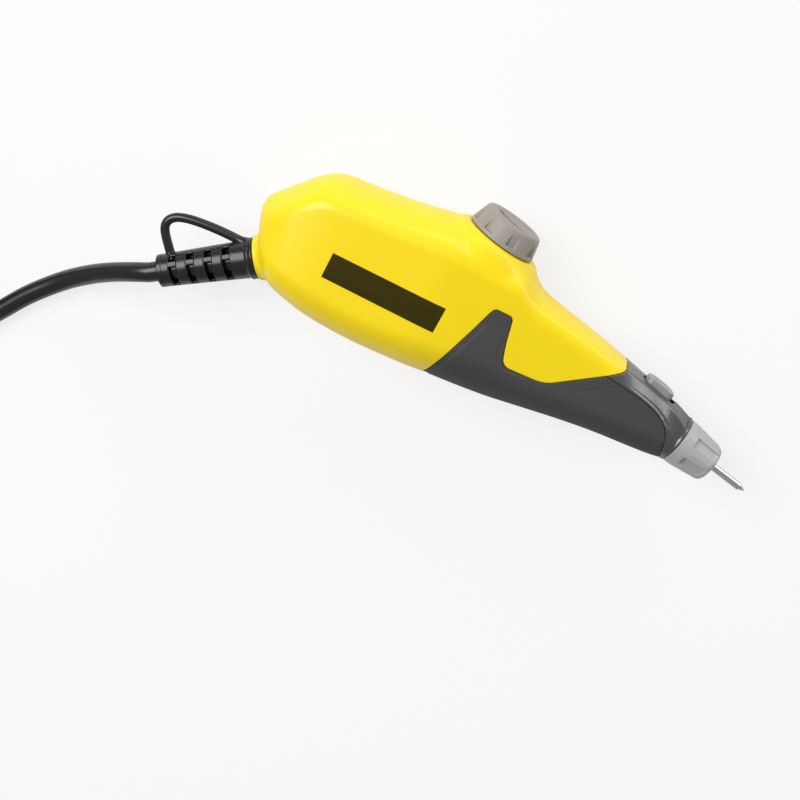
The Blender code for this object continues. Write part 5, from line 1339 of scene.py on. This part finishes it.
def build_nut():
    mouth, mouth_rise = NUT_BOSS
    waist, waist_radius = NUT_SHOULDER
    hole = NEEDLE_RADIUS + GAP
    corners = [(NUT_BORE, 2.0 * MM), (NUT_BORE, 0.05 * MM), (NUT_RADIUS - FOOT_EDGE, 0.05 * MM)]
    corners += arc((NUT_RADIUS - FOOT_EDGE, 0.30 * MM), FOOT_EDGE, -90, 0, 4)[1:]
    corners += [(NUT_RADIUS - 0.1 * MM, NUT_COLLAR), (waist_radius, waist)]
    for step in range(1, 13):
        angle = math.radians(90 * step / 12)
        corners.append((NUT_FRONT_RADIUS + (waist_radius - NUT_FRONT_RADIUS) * math.cos(angle),
                        waist + (NUT_LENGTH - waist) * math.sin(angle)))
    corners += [(mouth + 0.9 * MM, NUT_LENGTH + 0.02 * MM), (mouth + 0.5 * MM, NUT_LENGTH + 0.15 * MM),
                (mouth + 0.2 * MM, NUT_LENGTH + 0.5 * MM)]
    corners += arc((mouth - 0.2 * MM, NUT_LENGTH + mouth_rise - 0.25 * MM), 0.25 * MM, 20, 90, 4)
    corners += [(hole + 0.15 * MM, NUT_LENGTH + mouth_rise), (hole, NUT_LENGTH + mouth_rise - 0.15 * MM),
                (hole, NUT_LENGTH - 1.0 * MM)]
    work = turned(corners, "nut")
    face_outward(work, lambda point: on_axis(min(point.z, NUT_LENGTH / 2)))
    turn = math.radians(NUT_POCKET_TURN_DEG)
    pockets = pocket_field(NUT_POCKETS, turn, (NUT_POCKET_START, NUT_LENGTH + 3 * MM),
                           (NUT_POCKET_WIDTH / 2, NUT_POCKET_WIDTH / 2), NUT_POCKET_CORNER)
    for level in NUT_CUTS:
        split_at(work, pockets, level)

    def depth_at(points):
        front = np.clip((NUT_LENGTH - 0.4 * MM - points[:, 2]) / (1.2 * MM), 0.0, 1.0)
        inside = step_up(-0.1 * MM - pockets(points), 0.13 * MM)
        around, radius = polar(points)
        aside = wrapped((around - turn) * NUT_POCKETS) / NUT_POCKETS
        level = radius - (radius - NUT_POCKET_DEPTH) / np.cos(aside)
        angle = around - turn - math.pi / NUT_POCKETS
        off = np.abs(wrapped(angle * NUT_POCKETS)) / NUT_POCKETS * radius
        long = step_up(points[:, 2] - NUT_POCKET_START - 0.6 * MM, 0.5 * MM)
        rib = NUT_RIB_RISE * np.clip(1.0 - off / (1.2 * MM), 0.0, 1.0) * long
        wide = np.where(radius > NUT_FRONT_RADIUS + 0.3 * MM, 1.0, 0.0)
        return wide * front * (np.maximum(level, 0.0) * inside - rib)

    sink(work, depth_at)
    add_mesh("nut_cap", work, SHARP_DEG, "nut_grey_plastic", "nut", ("union_nut",), NEEDLE_FRAME)


def build_lip():
    """The rounded lip of the nose, beside the nut's rim."""
    front = -GAP / 2
    corners = [(NUT_BORE + 1.0 * MM, front)]
    corners += reversed(arc((NUT_RADIUS + 0.02 * MM, front - LIP_EDGE), LIP_EDGE, 0, 90, 6))
    corners += [(NUT_RADIUS + 0.25 * MM, front - 0.55 * MM), (NUT_RADIUS - 0.2 * MM, front - 1.1 * MM)]
    work = lathe(corners, LIP_STEPS)
    face_outward(work, lambda point: on_axis(point.z - 0.3 * MM))
    add_mesh("nose_lip", work, SHARP_DEG, "hard_grey_plastic", matrix=NEEDLE_FRAME)


def build_needle():
    cone = NEEDLE_TIP - NEEDLE_CONE
    step = HOLDER_FRONT + GAP
    corners = [(0.001 * MM, NEEDLE_START), (NEEDLE_SHANK_RADIUS, NEEDLE_START),
               (NEEDLE_SHANK_RADIUS, step), (NEEDLE_RADIUS - 0.1 * MM, step),
               (NEEDLE_RADIUS, step + 0.1 * MM), (NEEDLE_RADIUS, cone - 0.05 * MM),
               (NEEDLE_RADIUS - 0.03 * MM, cone), (0.08 * MM, NEEDLE_TIP - 0.1 * MM),
               (0.001 * MM, NEEDLE_TIP)]
    work = turned(corners, "needle")
    face_outward(work, lambda point: on_axis(min(point.z, cone - 1.0 * MM)))
    add_mesh("needle_rod", work, 30.0, "needle_steel", "striker", ("needle",), NEEDLE_FRAME)


# Strain relief

def build_boot():
    end = RELIEF_LENGTH
    corners = BOOT_FOOT + [(RELIEF_TIP_RADIUS + 0.08 * MM, end - 1.5 * MM)]
    corners += arc((RELIEF_TIP_RADIUS - 1.4 * MM, end - 1.4 * MM), 1.4 * MM, 8, 90, 8)
    corners += [(CORD_RADIUS + 0.06 * MM, end), (CORD_RADIUS + 0.06 * MM, end - 2.0 * MM)]
    work = turned(corners, "boot")
    face_outward(work, lambda point: on_axis(point.z))
    half = math.radians(SLOT_HALF_ANGLE_DEG)

    def slots(points):
        angle, radius = polar(points)
        off = wrapped((angle - math.pi / 2) * 2) / 2
        best = np.full(len(points), FAR_OFF)
        for number in range(SLOT_COUNT):
            place = SLOT_FIRST + SLOT_PITCH * number
            best = np.minimum(best, boxed(off * radius, points[:, 2] - place, half * radius,
                                          SLOT_WIDTH / 2, SLOT_EDGE))
        return np.where(radius > CORD_RADIUS + 1.0 * MM, best, FAR_OFF)

    trim(work, slots, SLOT_CUTS)
    sink(work, lambda points: rounding(np.maximum(slots(points), 0.0), SLOT_EDGE))
    boot = add_mesh("relief_boot", work, SHARP_DEG, "black_rubber", "pen", ("strain_relief",),
                    RELIEF_FRAME)
    thicken(boot, BOOT_WALL)
    neck, (anchor, thickness), back = RELIEF_NECK, RELIEF_ANCHOR, -SOCKET_DEPTH - GAP
    corners = [(CORD_RADIUS + 0.04 * MM, back - thickness), (anchor, back - thickness), (anchor, back),
               (neck, back), (neck, 0.6 * MM), (SLOT_CORE, 2.0 * MM), (SLOT_CORE, end - 1.0 * MM)]
    core = turned(corners, "core")
    face_outward(core, lambda point: on_axis(point.z))
    add_mesh("relief_core", core, 40.0, "black_rubber", matrix=RELIEF_FRAME)
    build_webs()
    points = [Vector((-up, 0.0, along)) for along, up in LOOP_POINTS]
    route = smooth_route(points, 0.5 * LOOP_STRAND)

    def swell(share):
        near = min(share, 1 - share)
        return 1.0 + LOOP_SWELL * max(1 - near / LOOP_SWELL_SHARE, 0.0) ** 2

    tube("relief_loop", route, LOOP_STRAND, "black_rubber", matrix=RELIEF_FRAME, swell=swell)


def build_webs():
    """The small webs that cross each slot of the boot, about a third of the way down."""
    work = bmesh.new()
    for number in range(SLOT_COUNT):
        place = SLOT_FIRST + SLOT_PITCH * number
        for side in (1, -1):
            turn = Matrix.Rotation(side * math.radians(90 + WEB_TURN_DEG), 4, "Z")
            shift = Matrix.Translation((WEB_RADIUS, 0.0, place))
            size = Matrix.Diagonal((*WEB_SIZE, SLOT_WIDTH + 0.6 * MM, 1.0))
            bmesh.ops.create_cube(work, size=1.0, matrix=turn @ shift @ size)
    bmesh.ops.bevel(work, geom=work.edges[:], offset=0.2 * MM, segments=2, affect="EDGES")
    add_mesh("relief_webs", work, 40.0, "black_rubber", matrix=RELIEF_FRAME)


def build_collar():
    """The yellow ring of the housing round the boot's foot, with a fillet to the housing."""
    tree = surface_of("housing_skin_right", "housing_skin_left")
    axis = RELIEF_FRAME.to_3x3() @ on_axis(1.0)
    ring_radius, fillet = RELIEF_SOCKET + 0.12 * MM, COLLAR_FILLET
    rings = []
    for way in ways_round(COLLAR_STEPS):
        heights = []
        for radius in (ring_radius, ring_radius + fillet):
            start = RELIEF_FRAME @ (way * radius + on_axis(SEARCH_START))
            hit = tree.ray_cast(start, -axis, SEARCH_LENGTH)[0]
            heights.append((RELIEF_FRAME.inverted() @ hit).z if hit else NOT_FOUND)
        here, far = heights
        far = max(far, here - 3.0 * MM)
        column = [(4.7 * MM, -0.15 * MM), (ring_radius - 0.45 * MM, -0.15 * MM)]
        column += arc((ring_radius - 0.4 * MM, -0.55 * MM), 0.4 * MM, 90, 0, 5)
        top = min(here + fillet, -0.6 * MM)
        column += [(ring_radius, (top - 0.55 * MM) / 2)]
        knots = np.array(((ring_radius, top), (ring_radius, here), (ring_radius + fillet, far)))
        column += [tuple(point) for point in bent(*knots, 8)]
        column.append((ring_radius + fillet + 0.3 * MM, far - 0.5 * MM))
        rings.append([tuple(way * radius + on_axis(height)) for radius, height in column])
    work = grid(rings + [rings[0]])
    bmesh.ops.recalc_face_normals(work, faces=work.faces)
    face_outward(work, lambda point: on_axis(min(point.z, -1.0 * MM)))
    ring = add_mesh("cord_collar", work, SHARP_DEG, "yellow_plastic", matrix=RELIEF_FRAME)
    thicken(ring, COLLAR_THICKNESS)


def surface_of(*names):
    """The outer faces of some skins, for finding where a ray meets them."""
    work = bmesh.new()
    for name in names:
        work.from_mesh(bpy.data.objects[name].data)
    tree = BVHTree.FromBMesh(work)
    work.free()
    return tree


# Screws

def build_screws():
    """Wells for the housing screws in the left side, and the heads at their ends."""
    for number, place in enumerate(SCREW_PLACES + [GRIP_SCREW_PLACE]):
        in_grip = place == GRIP_SCREW_PLACE
        tree = surface_of("grip_skin_left" if in_grip else "housing_skin_left")
        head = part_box(f"housing_screw_{number + 1}")[0][2]
        seat = head + SCREW_SEAT
        rings = []
        for way in ways_round(WELL_STEPS):
            start = Vector((*place, -1.0 * MM)) + way * (SCREW_WELL + 0.35 * MM)
            hit = tree.ray_cast(start, on_axis(1.0), 30 * MM)[0]
            low = (hit.z if hit else 0.0) + 0.7 * MM
            column = [(SCREW_WELL + 0.01 * MM, low), (SCREW_WELL + 0.01 * MM, seat), (1.2 * MM, seat)]
            rings.append([(place[0] + way.x * radius, place[1] + way.y * radius, height)
                          for radius, height in column])
        well = grid(rings + [rings[0]])
        face_outward(well, lambda point: Vector((*place, seat)))
        bmesh.ops.reverse_faces(well, faces=well.faces)
        finish = "soft_grip" if in_grip else "yellow_plastic"
        thicken(add_mesh(f"screw_well_{number + 1}", well, 40.0, finish), WELL_THICKNESS)
        build_screw_head(number + 1, place, head)


def build_screw_head(number, place, head):
    """A pan head with a cross recess, facing down."""
    radius, height = SCREW_HEAD
    long, wide, deep = SCREW_CROSS
    corners = [(0.001 * MM, 0.0), (radius * 0.55, 0.08 * MM), (radius * 0.85, 0.35 * MM),
               (radius, 0.9 * MM), (radius, height), (1.1 * MM, height), (1.1 * MM, 13.0 * MM),
               (0.001 * MM, 14.0 * MM)]
    work = turned(corners, "screw")
    bmesh.ops.recalc_face_normals(work, faces=work.faces)

    def cross(points):
        x, y = np.abs(points[:, 0]), np.abs(points[:, 1])
        arm = np.minimum(np.maximum(x - long, y - wide), np.maximum(y - long, x - wide))
        return np.where(points[:, 2] < 0.5 * MM, arm, FAR_OFF)

    for level in (-0.12 * MM, 0.0):
        split_at(work, cross, level, 0.004 * MM)
    for vert, value in zip(list(work.verts), cross(places(work))):
        vert.co.z += deep * float(np.clip(-value / (0.12 * MM), 0.0, 1.0))
    add_mesh(f"screw_{number}", work, 30.0, "screw_steel", "pen", (f"housing_screw_{number}",),
             Matrix.Translation((*place, head)))


# Wires inside

LEAD_RADIUS = 0.8 * MM
LEAD_FACETS = 5
CORD_TAIL = 12.5 * MM
LIVE_ROUTE = rows_in_metres(
    (-16.2, -11.1, 6.4), (-11.5, -12.4, 9.3), (1.0, -12.0, 9.5), (13.0, -13.2, 9.3),
    (30.0, -14.6, 8.6), (43.0, -15.5, 6.4), (52.0, -16.2, 5.2), (60.0, -13.2, 5.2),
    (66.5, -7.4, 5.0), (73.0, -2.2, 3.6),
)
LIVE_END = metres(-14.4, 2.6, -4.95)
NEUTRAL_ROUTE = rows_in_metres((-18.6, -2.0, -6.0), (-15.0, 7.0, -8.5), (-7.5, 6.2, -13.5))


def build_wires():
    """The end of the jacket inside the rear, and the two insulated leads."""
    start = SOCKET_DEPTH + 2 * GAP + RELIEF_ANCHOR[1]
    tube("cord_end", [(0.0, 0.0, -start), (0.0, 0.0, -CORD_TAIL)], CORD_RADIUS - GAP, "cord_jacket",
         ("cord_tail",), matrix=RELIEF_FRAME)
    tail = RELIEF_FRAME @ on_axis(-CORD_TAIL - GAP - LEAD_RADIUS)
    blade = along_nose(LIVE_END[0]) @ Vector((0.0, LIVE_END[1], LIVE_END[2]))
    live = [tail + on_axis(2 * LEAD_RADIUS)]
    live += [Vector((x, y, MIDDLE + z)) for x, y, z in LIVE_ROUTE] + [blade]
    tube("live_wire", smooth_route(live, 1.5 * LEAD_RADIUS), LEAD_RADIUS, "brown_insulation",
         ("lead_live",), LEAD_FACETS)
    neutral = [tail + Vector((0.0, LEAD_RADIUS, -2 * LEAD_RADIUS))]
    neutral += [Vector((x, y, MIDDLE + z)) for x, y, z in NEUTRAL_ROUTE]
    tube("neutral_wire", smooth_route(neutral, 1.5 * LEAD_RADIUS), LEAD_RADIUS, "blue_insulation",
         ("lead_neutral",), LEAD_FACETS)


# Floor and light

WORLD_STRENGTH = 0.30
FLOOR_REACH = 4.0
FLOOR_COLOUR = (0.86, 0.86, 0.86, 1.0)
# How much of plain white the floor shows to the camera and to glossy surfaces
WHITE_TO_CAMERA = 0.78
WHITE_TO_GLOSS = 0.2
LAMP_AIM = Vector((0.03, 0.0, 0.0))

# Each lamp's name, place, size and power
LAMPS = [
    ("shoulder_light", (0.36, 0.80, 0.31), (1.8, 0.26), 4.6),
    ("front_light", (-0.55, 0.20, 0.78), (0.7, 0.7), 7.6),
]


def build_stage():
    finish = Finish("studio_floor")
    finish.dress(Base_Color=FLOOR_COLOUR, Roughness=0.9)
    path = finish.node("ShaderNodeLightPath", output="Is Camera Ray")
    shiny = finish.node("ShaderNodeLightPath", output="Is Glossy Ray")
    white = finish.node("ShaderNodeEmission")
    surface = Value(finish, finish.shader.outputs[0])
    share = path * WHITE_TO_CAMERA + shiny * WHITE_TO_GLOSS
    mixed = finish.node("ShaderNodeMixShader", {}, {0: share, 1: surface, 2: white})
    finish.tree.links.new(mixed.socket, finish.tree.nodes["Material Output"].inputs["Surface"])
    mesh = bpy.data.meshes.new("floor")
    corners = [(x * FLOOR_REACH, y * FLOOR_REACH, 0.0) for x, y in ((-1, -1), (1, -1), (1, 1), (-1, 1))]
    mesh.from_pydata(corners, [], [(0, 1, 2, 3)])
    mesh.materials.append(finish.material)
    floor = bpy.data.objects.new("floor", mesh)
    bpy.context.scene.collection.objects.link(floor)
    world = bpy.data.worlds.new("studio")
    world.use_nodes = True
    nodes, links = world.node_tree.nodes, world.node_tree.links
    ground = nodes["Background"]
    ground.inputs["Color"].default_value = (1.0, 1.0, 1.0, 1.0)
    ray = nodes.new("ShaderNodeLightPath")
    strength = nodes.new("ShaderNodeMath")
    strength.operation = "MULTIPLY_ADD"
    strength.inputs[1].default_value = 1.0 - WORLD_STRENGTH
    strength.inputs[2].default_value = WORLD_STRENGTH
    links.new(ray.outputs["Is Camera Ray"], strength.inputs[0])
    links.new(strength.outputs[0], ground.inputs["Strength"])
    bpy.context.scene.world = world
    for row in LAMPS:
        lamp(*row)
    bpy.context.scene.view_settings.view_transform = "Standard"


def lamp(name, place, size, power):
    light = bpy.data.lights.new(name, "AREA")
    light.shape = "ELLIPSE"
    light.size, light.size_y = size
    light.energy = power
    thing = bpy.data.objects.new(name, light)
    turn = (Vector(place) - LAMP_AIM).to_track_quat("Z", "Y").to_matrix().to_4x4()
    thing.matrix_world = Matrix.Translation(place) @ turn
    bpy.context.scene.collection.objects.link(thing)


# CAD nodes that stay

def dress_nodes():
    """Give every CAD node, in view or inside, the finish of its slot."""
    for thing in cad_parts.values():
        for holder in thing.material_slots:
            name = holder.material.name.split(".")[0] if holder.material else ""
            if name in FINISHES:
                holder.material = FINISHES[name]


set_camera()
build_stage()
dress_nodes()
build_cord()
build_housing()
build_tongue()
build_collar()
build_plate()
build_screws()
build_dial()
build_button()
build_nut()
build_lip()
build_needle()
build_boot()
build_wires()
